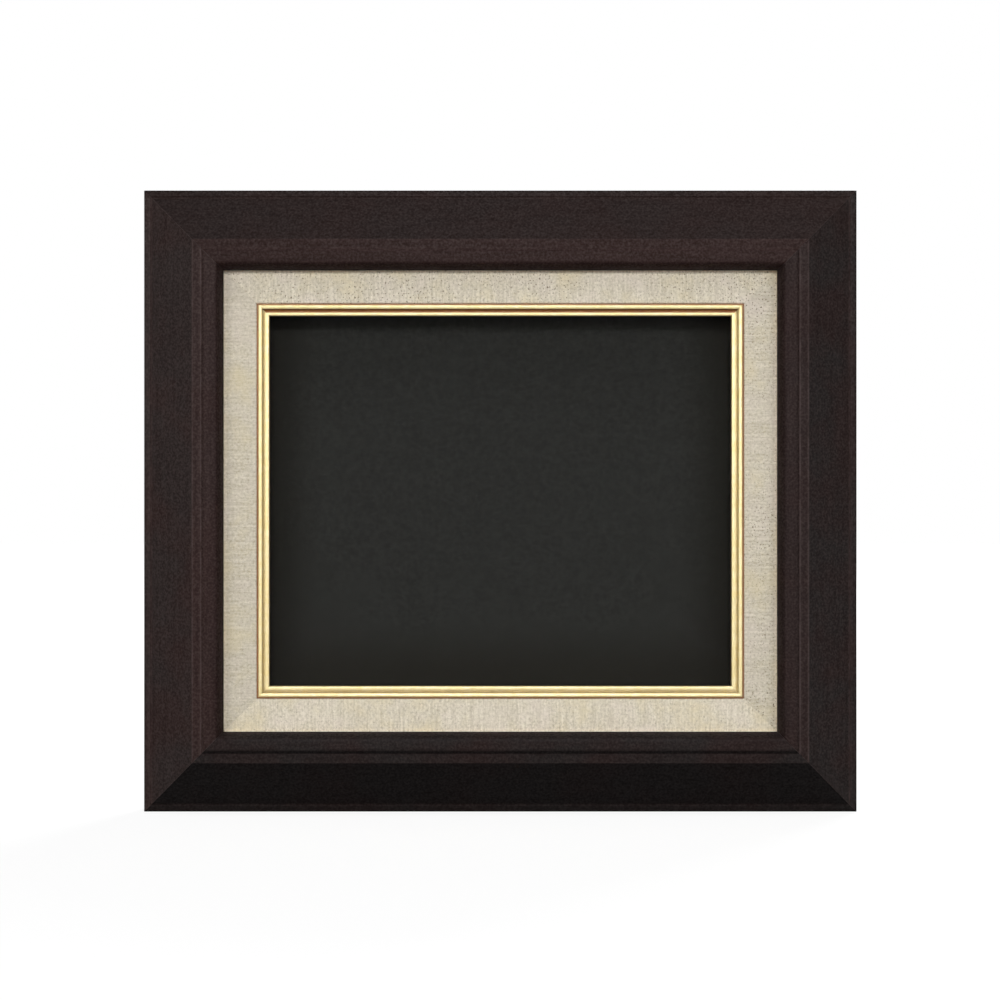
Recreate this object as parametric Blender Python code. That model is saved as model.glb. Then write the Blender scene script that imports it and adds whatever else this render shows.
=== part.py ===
"""An oil painting frame for a small stretched canvas.

A dark moulding holds a clear pane, a linen-covered liner and a gilt fillet. A flat riser screwed on
behind makes the canvas bay, which a back board closes. Turn buttons hold the board in, and two
strap hangers with D-rings carry the frame.

X runs across the frame and Z up it, and the picture faces -Y. The origin is the centre of the riser's
back, the plane on the wall side. A place in a rail's section has an inset, measured from the frame's
outer edge towards its middle, and a height, measured from that plane towards the viewer.
"""

import math

import bmesh
import bpy
from mathutils import Matrix, Vector

# Canvas that the frame is made for
CANVAS_WIDTH = 0.273
CANVAS_HEIGHT = 0.220
CANVAS_DEPTH = 0.020
CANVAS_OVERLAP = 0.0030
CANVAS_PLAY = 0.0015

# Widths of the three borders seen from the front
MOULDING_WIDTH = 0.0480
LINEN_SHOWN = 0.0183
FILLET_WIDTH = 0.0070

# Gap between faces that are glued, nailed or rest on each other
SEAT_GAP = 0.0003

# Moulding
LIP_OVERLAP = 0.0055
LIP_DEPTH = 0.0081
LIP_WALL = 0.0012
RIDGE_RISE = 0.0190
EDGE_ROUND = 0.0008
OUTER_BAND_WIDTH = 0.0039
OUTER_BAND_STEP = 0.0005
RIDGE_WIDTH = 0.0052
ARRIS_ROUND = 0.0005
QUIRK_WIDTH = 0.0026
QUIRK_DEPTH = 0.0009
QUIRK_LIP = 0.0004
BEAD_WIDTH = 0.0032
BEAD_RISE = 0.0004
OVOLO_WIDTH = 0.0061

# Pane, liner and fillet
PANE_THICKNESS = 0.0020
PANE_PLAY = 0.0010
LINER_PLAY = 0.0006
LINEN_THICKNESS = 0.0006
LINEN_TURN = 0.0090
LINEN_ROUND = 0.0012
FILLET_HEIGHT = 0.0056
FILLET_PROUD = 0.0010
FILLET_SHOULDER = 0.0007
FILLET_OUTER_BEAD = 0.0023
FILLET_COVE = 0.0013
FILLET_INNER_DROP = 0.0022
FILLET_INNER_RISE = 0.0010

# Riser and back board
RISER_THICKNESS = 0.0080
RISER_OVERLAP = 0.0140
BOARD_THICKNESS = 0.0030
BOARD_RECESS = 0.0003
BOARD_BEARING = 0.0060
BOARD_PLAY = 0.0005
FACING_THICKNESS = 0.0008
FACING_MARGIN = 0.0010

# Turn buttons
BUTTON_THICKNESS = 0.0012
BUTTON_HEAD_RADIUS = 0.0052
BUTTON_TIP_RADIUS = 0.0035
BUTTON_REACH = 0.0125
BUTTON_LIFT = 0.0016
BUTTON_SETBACK = 0.0066
BUTTON_SPREAD = 0.0800

# Strap hangers and their rings
HANGER_RAISE = 0.0850
STRAP_WIDTH = 0.0110
STRAP_LENGTH = 0.0345
STRAP_THICKNESS = 0.0010
RING_WIRE_RADIUS = 0.0010
RING_HALF_WIDTH = 0.0075
RING_LEG = 0.0030
RING_BOW = 0.0085
RING_CORNER = 0.0018
STRAP_FIRST_SCREW = 0.0195
STRAP_SCREW_PITCH = 0.0090

# Screws and corner nails
SCREW_SHANK_RADIUS = 0.00135
SCREW_HEAD_RADIUS = 0.0030
SCREW_HEAD_HEIGHT = 0.0018
SCREW_POINT = 0.0030
SHORT_SCREW_BITE = 0.0072
RISER_SCREW_LENGTH = 0.0150
RISER_SCREW_END = 0.0600
RECESS_REACH = 0.0017
RECESS_WIDTH = 0.0007
RECESS_DEPTH = 0.0010
HOLE_PLAY = 0.0003
V_NAIL_LEG = 0.0050
V_NAIL_THICKNESS = 0.0006
V_NAIL_HEIGHT = 0.0100
V_NAIL_FIRST = 0.0085
V_NAIL_PITCH = 0.0105

ROUND_STEPS = 16
SMOOTH_ANGLE = 35
SIDES = ("top", "right", "bottom", "left")

# Insets, from the outer edge inwards
SIGHT_INSET = MOULDING_WIDTH + LINEN_SHOWN + FILLET_WIDTH
FILLET_INSET = MOULDING_WIDTH + LINEN_SHOWN
REBATE_INSET = MOULDING_WIDTH - LIP_OVERLAP
PANE_INSET = REBATE_INSET + PANE_PLAY
LINEN_OUTER_INSET = REBATE_INSET + LINER_PLAY
CORE_OUTER_INSET = LINEN_OUTER_INSET + LINEN_THICKNESS + SEAT_GAP
LINEN_INNER_INSET = FILLET_INSET - SEAT_GAP
CORE_INNER_INSET = LINEN_INNER_INSET - LINEN_THICKNESS - SEAT_GAP
BAY_INSET = SIGHT_INSET - CANVAS_OVERLAP - CANVAS_PLAY
BOARD_INSET = BAY_INSET - BOARD_BEARING
BOARD_REBATE_INSET = BOARD_INSET - BOARD_PLAY
RISER_INSET = REBATE_INSET - RISER_OVERLAP
RISER_SCREW_INSET = (RISER_INSET + REBATE_INSET) / 2
PIVOT_INSET = BOARD_REBATE_INSET - BUTTON_SETBACK
HANGER_INSET = (RISER_INSET + BOARD_REBATE_INSET) / 2

# Heights, from the riser's back forwards
BOARD_FRONT = BOARD_RECESS + BOARD_THICKNESS
BOARD_LEDGE = BOARD_FRONT + SEAT_GAP
FACING_FRONT = BOARD_LEDGE + FACING_THICKNESS
MOULDING_BACK = RISER_THICKNESS + SEAT_GAP
FILLET_BACK = FACING_FRONT + CANVAS_DEPTH + SEAT_GAP
CORE_LEDGE = FILLET_BACK - SEAT_GAP
FILLET_TOP = FILLET_BACK + FILLET_HEIGHT
LINEN_FRONT = FILLET_TOP - FILLET_PROUD
CORE_FRONT = LINEN_FRONT - LINEN_THICKNESS - SEAT_GAP
PANE_BACK = FILLET_TOP + SEAT_GAP
PANE_FRONT = PANE_BACK + PANE_THICKNESS
LIP_BACK = PANE_FRONT + SEAT_GAP
RIDGE_TOP = LIP_BACK + LIP_DEPTH
OUTER_BAND_TOP = RIDGE_TOP - RIDGE_RISE

# Overall size, and where the corner joints end
OUTER_WIDTH = CANVAS_WIDTH - 2 * CANVAS_OVERLAP + 2 * SIGHT_INSET
OUTER_HEIGHT = CANVAS_HEIGHT - 2 * CANVAS_OVERLAP + 2 * SIGHT_INSET
MITRE_SETBACK = SEAT_GAP / math.sqrt(2)


def make_material(name, colour, roughness, metallic=0.0, alpha=1.0):
    """A Principled surface of one colour."""
    material = bpy.data.materials.new(name)
    material.use_nodes = True
    surface = material.node_tree.nodes["Principled BSDF"]
    surface.inputs["Base Color"].default_value = (*colour, 1.0)
    surface.inputs["Roughness"].default_value = roughness
    surface.inputs["Metallic"].default_value = metallic
    surface.inputs["Alpha"].default_value = alpha
    return material


def clear_scene():
    """Removes the objects that the file opened with."""
    for found in list(bpy.data.objects):
        bpy.data.objects.remove(found)


def place(name, mesh, material, parent, matrix=None):
    """Puts a mesh in the scene as one named piece."""
    piece = bpy.data.objects.new(name, mesh)
    bpy.context.scene.collection.objects.link(piece)
    piece.parent = parent
    piece.matrix_local = matrix if matrix else Matrix.Identity(4)
    if not mesh.materials:
        mesh.materials.append(material)
    return piece


def finish_mesh(name, bm):
    """Turns a bmesh into a mesh with outward faces, round pieces shaded smooth."""
    bmesh.ops.recalc_face_normals(bm, faces=bm.faces)
    mesh = bpy.data.meshes.new(name)
    bm.to_mesh(mesh)
    bm.free()
    mesh.shade_smooth()
    mesh.set_sharp_from_angle(angle=math.radians(SMOOTH_ANGLE))
    return mesh


def arc(centre, radii, start, end, steps):
    """Points on an ellipse from one angle to another, in degrees, both ends included."""
    angles = [math.radians(start + (end - start) * i / steps) for i in range(steps + 1)]
    return [(centre[0] + radii[0] * math.cos(a), centre[1] + radii[1] * math.sin(a)) for a in angles]


def extruded(name, outline, reach):
    """A prism: an outline of 3-D points carried along one vector."""
    bm = bmesh.new()
    face = bm.faces.new([bm.verts.new(point) for point in outline])
    moved = bmesh.ops.extrude_face_region(bm, geom=[face])["geom"]
    far = [item for item in moved if isinstance(item, bmesh.types.BMVert)]
    bmesh.ops.translate(bm, verts=far, vec=Vector(reach))
    return finish_mesh(name, bm)


def panel(name, inset, back, front):
    """A flat panel with its edges at one inset all round, between two heights."""
    x = OUTER_WIDTH / 2 - inset
    z = OUTER_HEIGHT / 2 - inset
    outline = [(-x, -back, -z), (x, -back, -z), (x, -back, z), (-x, -back, z)]
    return extruded(name, outline, (0, back - front, 0))


def turned(name, profile):
    """A round solid about Y, spun from points of radius and height that start and end on the axis."""
    bm = bmesh.new()
    points = [bm.verts.new((radius, height, 0)) for radius, height in profile]
    edges = [bm.edges.new(pair) for pair in zip(points, points[1:])]
    bmesh.ops.spin(
        bm,
        geom=points + edges,
        cent=(0, 0, 0),
        axis=(0, 1, 0),
        angle=2 * math.pi,
        steps=ROUND_STEPS,
        use_merge=True,
    )
    bmesh.ops.remove_doubles(bm, verts=bm.verts, dist=1e-6)
    return finish_mesh(name, bm)


def repeated(name, mesh, matrices):
    """One mesh that holds a separate copy of another at each matrix."""
    bm = bmesh.new()
    for matrix in matrices:
        start = len(bm.verts)
        bm.from_mesh(mesh)
        bm.verts.ensure_lookup_table()
        bmesh.ops.transform(bm, matrix=matrix, verts=bm.verts[start:])
    return finish_mesh(name, bm)


def cut(name, mesh, cutter):
    """The mesh with a cutter's shape taken out of it."""
    body = bpy.data.objects.new(name, mesh)
    tool = bpy.data.objects.new(name + "_cutter", cutter)
    for item in (body, tool):
        bpy.context.scene.collection.objects.link(item)
    boolean = body.modifiers.new("cut", "BOOLEAN")
    boolean.operation = "DIFFERENCE"
    boolean.object = tool
    depsgraph = bpy.context.evaluated_depsgraph_get()
    done = bpy.data.meshes.new_from_object(body.evaluated_get(depsgraph))
    for item in (body, tool):
        bpy.data.objects.remove(item)
    done.name = name
    done.set_sharp_from_angle(angle=math.radians(SMOOTH_ANGLE))
    return done


def moulding_section():
    """The moulding: an outer band, a long slope up to the ridge, a quirk, a bead and an ovolo."""
    bead_start = MOULDING_WIDTH - OVOLO_WIDTH - BEAD_WIDTH
    quirk_start = bead_start - QUIRK_WIDTH
    ridge_start = quirk_start - RIDGE_WIDTH
    quirk_top = RIDGE_TOP - QUIRK_LIP
    wall_top = LIP_BACK + LIP_WALL
    slope_foot = (OUTER_BAND_WIDTH, OUTER_BAND_TOP - OUTER_BAND_STEP)
    rounding = arc((EDGE_ROUND, OUTER_BAND_TOP - EDGE_ROUND), (EDGE_ROUND, EDGE_ROUND), 180, 90, 3)
    quirk = arc((quirk_start + QUIRK_WIDTH / 2, quirk_top), (QUIRK_WIDTH / 2, QUIRK_DEPTH), 180, 360, 6)
    bead = arc((bead_start + BEAD_WIDTH / 2, quirk_top), (BEAD_WIDTH / 2, BEAD_RISE), 180, 0, 6)
    ovolo = arc((MOULDING_WIDTH - OVOLO_WIDTH, wall_top), (OVOLO_WIDTH, quirk_top - wall_top), 90, 0, 9)
    return [
        (0, MOULDING_BACK),
        *rounding,
        (OUTER_BAND_WIDTH - OUTER_BAND_STEP, OUTER_BAND_TOP),
        slope_foot,
        (ridge_start - ARRIS_ROUND, RIDGE_TOP - ARRIS_ROUND),
        (ridge_start + ARRIS_ROUND, RIDGE_TOP),
        (quirk_start - ARRIS_ROUND, RIDGE_TOP),
        *quirk,
        *bead[1:-1],
        *ovolo,
        (MOULDING_WIDTH, LIP_BACK),
        (REBATE_INSET, LIP_BACK),
        (REBATE_INSET, MOULDING_BACK),
    ]


def core_section():
    """The liner's wooden core, with the ledge that the fillet sits on."""
    return [
        (CORE_OUTER_INSET, MOULDING_BACK),
        (CORE_OUTER_INSET, CORE_FRONT),
        (CORE_INNER_INSET, CORE_FRONT),
        (CORE_INNER_INSET, CORE_LEDGE),
        (BAY_INSET, CORE_LEDGE),
        (BAY_INSET, MOULDING_BACK),
    ]


def linen_section():
    """The cloth: one strip of even thickness, over the core's face and down both of its sides."""
    inner_round = LINEN_ROUND - LINEN_THICKNESS
    outer_centre = (LINEN_OUTER_INSET + LINEN_ROUND, LINEN_FRONT - LINEN_ROUND)
    inner_centre = (LINEN_INNER_INSET - LINEN_ROUND, LINEN_FRONT - LINEN_ROUND)
    foot = LINEN_FRONT - LINEN_TURN
    tuck = CORE_LEDGE + SEAT_GAP
    return [
        (LINEN_OUTER_INSET, foot),
        *arc(outer_centre, (LINEN_ROUND, LINEN_ROUND), 180, 90, 4),
        *arc(inner_centre, (LINEN_ROUND, LINEN_ROUND), 90, 0, 4),
        (LINEN_INNER_INSET, tuck),
        (LINEN_INNER_INSET - LINEN_THICKNESS, tuck),
        *arc(inner_centre, (inner_round, inner_round), 0, 90, 4),
        *arc(outer_centre, (inner_round, inner_round), 90, 180, 4),
        (LINEN_OUTER_INSET + LINEN_THICKNESS, foot),
    ]


def fillet_section():
    """The gilt fillet: a shoulder, a tall bead, a cove and a low bead at the sight edge."""
    shoulder_top = LINEN_FRONT + (FILLET_TOP - LINEN_FRONT) / 4
    bead_radius = FILLET_OUTER_BEAD / 2
    bead_start = FILLET_INSET + FILLET_SHOULDER
    cove_start = bead_start + FILLET_OUTER_BEAD
    low_start = cove_start + FILLET_COVE
    low_radius = (SIGHT_INSET - low_start) / 2
    low_foot = FILLET_TOP - FILLET_INNER_DROP - FILLET_INNER_RISE
    bead_centre = (bead_start + bead_radius, shoulder_top)
    tall_bead = arc(bead_centre, (bead_radius, FILLET_TOP - shoulder_top), 180, 0, 8)
    cove = arc((low_start, shoulder_top), (FILLET_COVE, shoulder_top - low_foot), 180, 270, 4)
    low_bead = arc((low_start + low_radius, low_foot), (low_radius, FILLET_INNER_RISE), 180, 0, 8)
    return [
        (FILLET_INSET, FILLET_BACK),
        (FILLET_INSET, shoulder_top),
        *tall_bead,
        *cove[1:-1],
        *low_bead,
        (SIGHT_INSET, FILLET_BACK),
    ]


def riser_section():
    """The riser: a flat batten with the rebate that the back board drops into."""
    return [
        (RISER_INSET, 0),
        (BOARD_REBATE_INSET, 0),
        (BOARD_REBATE_INSET, BOARD_LEDGE),
        (BAY_INSET, BOARD_LEDGE),
        (BAY_INSET, RISER_THICKNESS),
        (RISER_INSET, RISER_THICKNESS),
    ]


def mitred_rail(name, section, outer_length):
    """A section carried along X, each end cut at 45 degrees.

    The rail lies as the top rail does, with its outer edge at Z = 0 and its insets below it.
    """
    bm = bmesh.new()
    near = [bm.verts.new((0, -height, -inset)) for inset, height in section]
    moved = bmesh.ops.extrude_face_region(bm, geom=[bm.faces.new(near)])["geom"]
    far = [item for item in moved if isinstance(item, bmesh.types.BMVert)]
    for direction, end in ((-1, near), (1, far)):
        for vert in end:
            vert.co.x = direction * (outer_length / 2 + vert.co.z - MITRE_SETBACK)
    return finish_mesh(name, bm)


def side_matrix(side):
    """Carries a rail that lies as the top rail does to one side of the frame."""
    turns = {"top": 0, "right": 90, "bottom": 180, "left": -90}
    reach = OUTER_HEIGHT / 2 if side in ("top", "bottom") else OUTER_WIDTH / 2
    return Matrix.Rotation(math.radians(turns[side]), 4, "Y") @ Matrix.Translation((0, 0, reach))


def side_length(side):
    """A side's full outer length."""
    return OUTER_WIDTH if side in ("top", "bottom") else OUTER_HEIGHT


def rail_point(along, inset, height):
    """A point on a rail that lies as the top rail does."""
    return Matrix.Translation((along, -height, -inset))


def round_cutter(radius, back, front):
    """A round cutter along Y that runs from behind one height to another, with its point ahead."""
    return turned("bore", [(0, -back), (radius, -back), (radius, -front), (0, -front - radius / 2)])


def countersink_cutter():
    """Takes out the riser screw's hole and the cone that its head sinks into."""
    head = SCREW_HEAD_RADIUS + HOLE_PLAY
    hole = SCREW_SHANK_RADIUS + HOLE_PLAY
    cone = SCREW_HEAD_HEIGHT + HOLE_PLAY
    beyond = RISER_THICKNESS + SEAT_GAP
    profile = [(0, beyond), (head, beyond), (head, 0), (hole, -cone), (hole, -beyond), (0, -beyond)]
    return turned("countersink", profile)


def cross_recess(top):
    """The cross that a screwdriver turns, as a cutter that sinks from above the head."""
    arm = RECESS_WIDTH / 2
    reach = RECESS_REACH
    outline = [
        (arm, arm), (arm, reach), (-arm, reach), (-arm, arm), (-reach, arm), (-reach, -arm),
        (-arm, -arm), (-arm, -reach), (arm, -reach), (arm, -arm), (reach, -arm), (reach, arm),
    ]
    depth = 2 * RECESS_DEPTH
    return extruded("recess", [(x, top + depth / 2, z) for x, z in outline], (0, -depth, 0))


def pan_screw(bite):
    """A pan-head wood screw. Y = 0 is under its head, and the shank runs towards -Y."""
    dome = arc((0, 0), (SCREW_HEAD_RADIUS, SCREW_HEAD_HEIGHT), 90, 0, 4)
    shank = [(SCREW_SHANK_RADIUS, 0), (SCREW_SHANK_RADIUS, SCREW_POINT - bite), (0, -bite)]
    body = turned("pan_screw", dome + shank)
    return cut("pan_screw", body, cross_recess(SCREW_HEAD_HEIGHT))


def flat_screw(length):
    """A countersunk wood screw. Y = 0 is its flat top, and the shank runs towards -Y."""
    profile = [
        (0, 0),
        (SCREW_HEAD_RADIUS, 0),
        (SCREW_SHANK_RADIUS, -SCREW_HEAD_HEIGHT),
        (SCREW_SHANK_RADIUS, SCREW_POINT - length),
        (0, -length),
    ]
    return cut("flat_screw", turned("flat_screw", profile), cross_recess(0))


def v_nail(play, height):
    """A bent steel corner nail: two thin legs that meet at a right angle on the mitre line.

    Its legs lie in X and Z on either side of the line X = Z, and it runs towards -Y from Y = 0.
    """
    leg = V_NAIL_LEG + play
    web = V_NAIL_THICKNESS / 2 + play
    outline = [(-web, -web), (leg, -web), (leg, web), (web, web), (web, leg), (-web, leg)]
    return extruded("v_nail", [(x, play, z) for x, z in outline], (0, -height - 2 * play, 0))


def corner_insets(first, pitch, count):
    """The insets of the nails along one corner's mitre."""
    return [first + pitch * i for i in range(count)]


def corner_nail_matrices(insets):
    """Each corner's nails, their points on the mitre and their backs flush with the rails' backs."""
    matrices = []
    for turn in range(4):
        x_side = 1 if turn in (0, 1) else -1
        z_side = 1 if turn in (0, 3) else -1
        for inset in insets:
            spot = (x_side * (OUTER_WIDTH / 2 - inset), -MOULDING_BACK, z_side * (OUTER_HEIGHT / 2 - inset))
            turned_in = Matrix.Rotation(math.radians(180 + 90 * turn), 4, "Y")
            matrices.append(Matrix.Translation(spot) @ turned_in)
    return matrices


def rail_nail_slots(insets, outer_length):
    """Cutters for the nails at both ends of a rail that lies as the top rail does."""
    slot = v_nail(SEAT_GAP, V_NAIL_HEIGHT)
    matrices = []
    for direction, turn in ((1, 180), (-1, 90)):
        for inset in insets:
            spot = (direction * (outer_length / 2 - inset), -MOULDING_BACK, -inset)
            matrices.append(Matrix.Translation(spot) @ Matrix.Rotation(math.radians(turn), 4, "Y"))
    return slot, matrices


def turn_button():
    """A stamped plate, wide round its pivot and narrow at its tip, which is bent up to meet a finger.

    The pivot is the origin, the plate points along X and its thickness runs from Y = 0 to +Y.
    """
    ease = math.degrees(math.asin((BUTTON_HEAD_RADIUS - BUTTON_TIP_RADIUS) / BUTTON_REACH))
    head = arc((0, 0), (BUTTON_HEAD_RADIUS, BUTTON_HEAD_RADIUS), 90 - ease, 270 + ease, 14)
    tip = arc((BUTTON_REACH, 0), (BUTTON_TIP_RADIUS, BUTTON_TIP_RADIUS), -90 + ease, 90 - ease, 8)
    plate = extruded("turn_button", [(x, 0, z) for x, z in head + tip], (0, BUTTON_THICKNESS, 0))
    bm = bmesh.new()
    bm.from_mesh(plate)
    fold = BUTTON_REACH - BUTTON_TIP_RADIUS / 2
    everything = list(bm.verts) + list(bm.edges) + list(bm.faces)
    bmesh.ops.bisect_plane(bm, geom=everything, plane_co=(fold, 0, 0), plane_no=(1, 0, 0))
    beyond = BUTTON_REACH + BUTTON_TIP_RADIUS - fold
    for vert in bm.verts:
        vert.co.y += BUTTON_LIFT * max(0, vert.co.x - fold) / beyond
    bent = finish_mesh("turn_button", bm)
    hole = turned("hole", [
        (0, -BUTTON_THICKNESS),
        (SCREW_SHANK_RADIUS + HOLE_PLAY, -BUTTON_THICKNESS),
        (SCREW_SHANK_RADIUS + HOLE_PLAY, 2 * BUTTON_THICKNESS),
        (0, 2 * BUTTON_THICKNESS),
    ])
    return cut("turn_button", bent, hole)


def ring_axis_height():
    """How far the D-ring's bar stands off the back of its strap."""
    return RING_WIRE_RADIUS + HOLE_PLAY + STRAP_THICKNESS


def strap_screw_drops():
    """How far each strap screw lies below the ring's bar."""
    return [STRAP_FIRST_SCREW, STRAP_FIRST_SCREW + STRAP_SCREW_PITCH]


def strap():
    """A steel strap whose upper end curls round the D-ring's bar.

    The bar's axis is the origin, the strap hangs along -Z, and its underside faces -Y.
    """
    curl = ring_axis_height()
    bore = curl - STRAP_THICKNESS
    outer = arc((0, 0), (curl, curl), -90, 195, 16)
    inner = arc((0, 0), (bore, bore), 195, -90, 16)
    outline = [(-STRAP_LENGTH, -curl), *outer, *inner, (-STRAP_LENGTH, -bore)]
    body = extruded("strap", [(-STRAP_WIDTH / 2, y, z) for z, y in outline], (STRAP_WIDTH, 0, 0))
    bm = bmesh.new()
    bm.from_mesh(body)
    lowest = [e for e in bm.edges if all(v.co.z < -STRAP_LENGTH + 1e-5 for v in e.verts)]
    upright = [e for e in lowest if abs(e.verts[0].co.x - e.verts[1].co.x) < 1e-5]
    bmesh.ops.bevel(bm, geom=upright, offset=STRAP_WIDTH * 0.42, segments=5, profile=0.5, affect="EDGES")
    rounded = finish_mesh("strap", bm)
    radius = SCREW_SHANK_RADIUS + HOLE_PLAY
    hole = turned("hole", [(0, -2 * curl), (radius, -2 * curl), (radius, 0), (0, 0)])
    holes = repeated("holes", hole, [Matrix.Translation((0, 0, -drop)) for drop in strap_screw_drops()])
    return cut("strap", rounded, holes)


def ring_path():
    """The D-ring's centre line in X and Z: a straight bar at Z = 0, two legs and a bow below."""
    half = RING_HALF_WIDTH
    corner = RING_CORNER
    right = arc((half - corner, -corner), (corner, corner), 90, 0, 4)
    bow = arc((0, -RING_LEG), (half, RING_BOW), 0, -180, 18)
    left = arc((corner - half, -corner), (corner, corner), 180, 90, 4)
    bar = [(x * half, 0) for x in (-0.4, 0, 0.4)]
    return right + bow + left + bar


def ring_curve():
    """The D-ring: round wire along its centre line, closed on itself."""
    curve = bpy.data.curves.new("ring", "CURVE")
    curve.dimensions = "3D"
    curve.bevel_depth = RING_WIRE_RADIUS
    curve.bevel_resolution = 2
    spline = curve.splines.new("POLY")
    points = ring_path()
    spline.points.add(len(points) - 1)
    for point, (x, z) in zip(spline.points, points):
        point.co = (x, 0, z, 1)
    spline.use_cyclic_u = True
    return curve


def riser_screw_places(side):
    """Where a riser rail is screwed to the moulding, along the rail."""
    end = side_length(side) / 2 - RISER_SCREW_END
    return [-end, end]


def button_places(side):
    """Where the turn buttons pivot, along the rail."""
    return [-BUTTON_SPREAD, BUTTON_SPREAD] if side in ("top", "bottom") else [0]


def strap_screw_places(side):
    """Where a side rail's hanger is screwed on, along the rail."""
    upward = {"left": 1, "right": -1}.get(side)
    return [upward * (HANGER_RAISE - drop) for drop in strap_screw_drops()] if upward else []


def make_moulding(frame, material):
    """Four mitred mouldings, with slots for the corner nails and holes for the riser's screws."""
    insets = corner_insets(V_NAIL_FIRST, V_NAIL_PITCH, 2)
    pilot = round_cutter(SCREW_SHANK_RADIUS + HOLE_PLAY, RISER_THICKNESS, RISER_SCREW_LENGTH)
    for sides in (("top", "bottom"), ("left", "right")):
        length = side_length(sides[0])
        rail = mitred_rail("moulding", moulding_section(), length)
        slot, slots = rail_nail_slots(insets, length)
        rail = cut("moulding", rail, repeated("slots", slot, slots))
        places = [rail_point(along, RISER_SCREW_INSET, 0) for along in riser_screw_places(sides[0])]
        rail = cut("moulding", rail, repeated("pilots", pilot, places))
        for side in sides:
            place("moulding_" + side, rail, material, frame, side_matrix(side))


def make_liner(frame, wood, cloth, gilt):
    """The liner's core, its linen and the fillet, four mitred rails of each."""
    for sides in (("top", "bottom"), ("left", "right")):
        length = side_length(sides[0])
        core = mitred_rail("core", core_section(), length)
        linen = mitred_rail("linen", linen_section(), length)
        fillet = mitred_rail("fillet", fillet_section(), length)
        for side in sides:
            place("liner_core_" + side, core, wood, frame, side_matrix(side))
            place("liner_linen_" + side, linen, cloth, frame, side_matrix(side))
            place("gilt_fillet_" + side, fillet, gilt, frame, side_matrix(side))


def make_riser(frame, material):
    """Four riser rails, bored for their own screws, the turn buttons' and the hangers'."""
    short_hole = round_cutter(SCREW_SHANK_RADIUS + HOLE_PLAY, -RISER_THICKNESS, SHORT_SCREW_BITE)
    through = countersink_cutter()
    for side in SIDES:
        rail = mitred_rail("riser", riser_section(), side_length(side))
        sunk = [rail_point(along, RISER_SCREW_INSET, 0) for along in riser_screw_places(side)]
        rail = cut("riser", rail, repeated("countersinks", through, sunk))
        blind = [rail_point(along, PIVOT_INSET, 0) for along in button_places(side)]
        blind += [rail_point(along, HANGER_INSET, 0) for along in strap_screw_places(side)]
        rail = cut("riser", rail, repeated("holes", short_hole, blind))
        place("riser_" + side, rail, material, frame, side_matrix(side))


def make_panels(frame, pane_material, board_material, facing_material):
    """The pane in the moulding's rebate, and the back board with its dark facing."""
    pane = panel("pane", PANE_INSET, PANE_BACK, PANE_FRONT)
    board = panel("board", BOARD_INSET, BOARD_RECESS, BOARD_FRONT)
    facing = panel("facing", BAY_INSET + FACING_MARGIN, BOARD_LEDGE, FACING_FRONT)
    place("clear_pane", pane, pane_material, frame)
    carrier = place("back_board", board, board_material, frame)
    place("board_facing", facing, facing_material, carrier)


def place_each(name, mesh, material, parent, matrices):
    """Puts one numbered copy of a mesh at each matrix."""
    for number, matrix in enumerate(matrices, 1):
        place(f"{name}_{number}", mesh, material, parent, matrix)


def make_nails_and_screws(frame, steel):
    """Every fastener that stays put: corner nails, riser screws, button screws and strap screws."""
    riser_spots, button_spots, strap_spots = [], [], []
    sunk_top = Matrix.Translation((0, -HOLE_PLAY / 2, 0))
    button_top = Matrix.Translation((0, 2 * SEAT_GAP + BUTTON_THICKNESS, 0))
    strap_top = Matrix.Translation((0, 2 * SEAT_GAP + STRAP_THICKNESS, 0))
    for side in SIDES:
        to_side = side_matrix(side)
        for along in riser_screw_places(side):
            riser_spots.append(to_side @ rail_point(along, RISER_SCREW_INSET, 0) @ sunk_top)
        for along in button_places(side):
            button_spots.append(to_side @ rail_point(along, PIVOT_INSET, 0) @ button_top)
        for along in strap_screw_places(side):
            strap_spots.append(to_side @ rail_point(along, HANGER_INSET, 0) @ strap_top)
    button_screw = pan_screw(SHORT_SCREW_BITE + 2 * SEAT_GAP + BUTTON_THICKNESS)
    strap_screw = pan_screw(SHORT_SCREW_BITE + 2 * SEAT_GAP + STRAP_THICKNESS)
    nail_spots = corner_nail_matrices(corner_insets(V_NAIL_FIRST, V_NAIL_PITCH, 2))
    place_each("corner_nail", v_nail(0, V_NAIL_HEIGHT), steel, frame, nail_spots)
    place_each("riser_screw", flat_screw(RISER_SCREW_LENGTH), steel, frame, riser_spots)
    place_each("turn_button_screw", button_screw, steel, frame, button_spots)
    place_each("hanger_screw", strap_screw, steel, frame, strap_spots)


def make_turn_buttons(frame, steel):
    """Six turn buttons, lying along their rails. A quarter turn about +Y brings each over the board."""
    spots = []
    for side in SIDES:
        for along in button_places(side):
            spots.append(side_matrix(side) @ rail_point(along, PIVOT_INSET, -SEAT_GAP))
    place_each("turn_button", turn_button(), steel, frame, spots)


def make_hangers(frame, steel):
    """A strap on each side rail, and the D-ring that hangs from it."""
    plate = strap()
    wire = ring_curve()
    for side, direction in (("left", -1), ("right", 1)):
        across = direction * (OUTER_WIDTH / 2 - HANGER_INSET)
        bar = Matrix.Translation((across, SEAT_GAP + ring_axis_height(), HANGER_RAISE))
        place("hanger_strap_" + side, plate, steel, frame, bar)
        place("hanger_ring_" + side, wire, steel, frame, bar)


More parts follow.
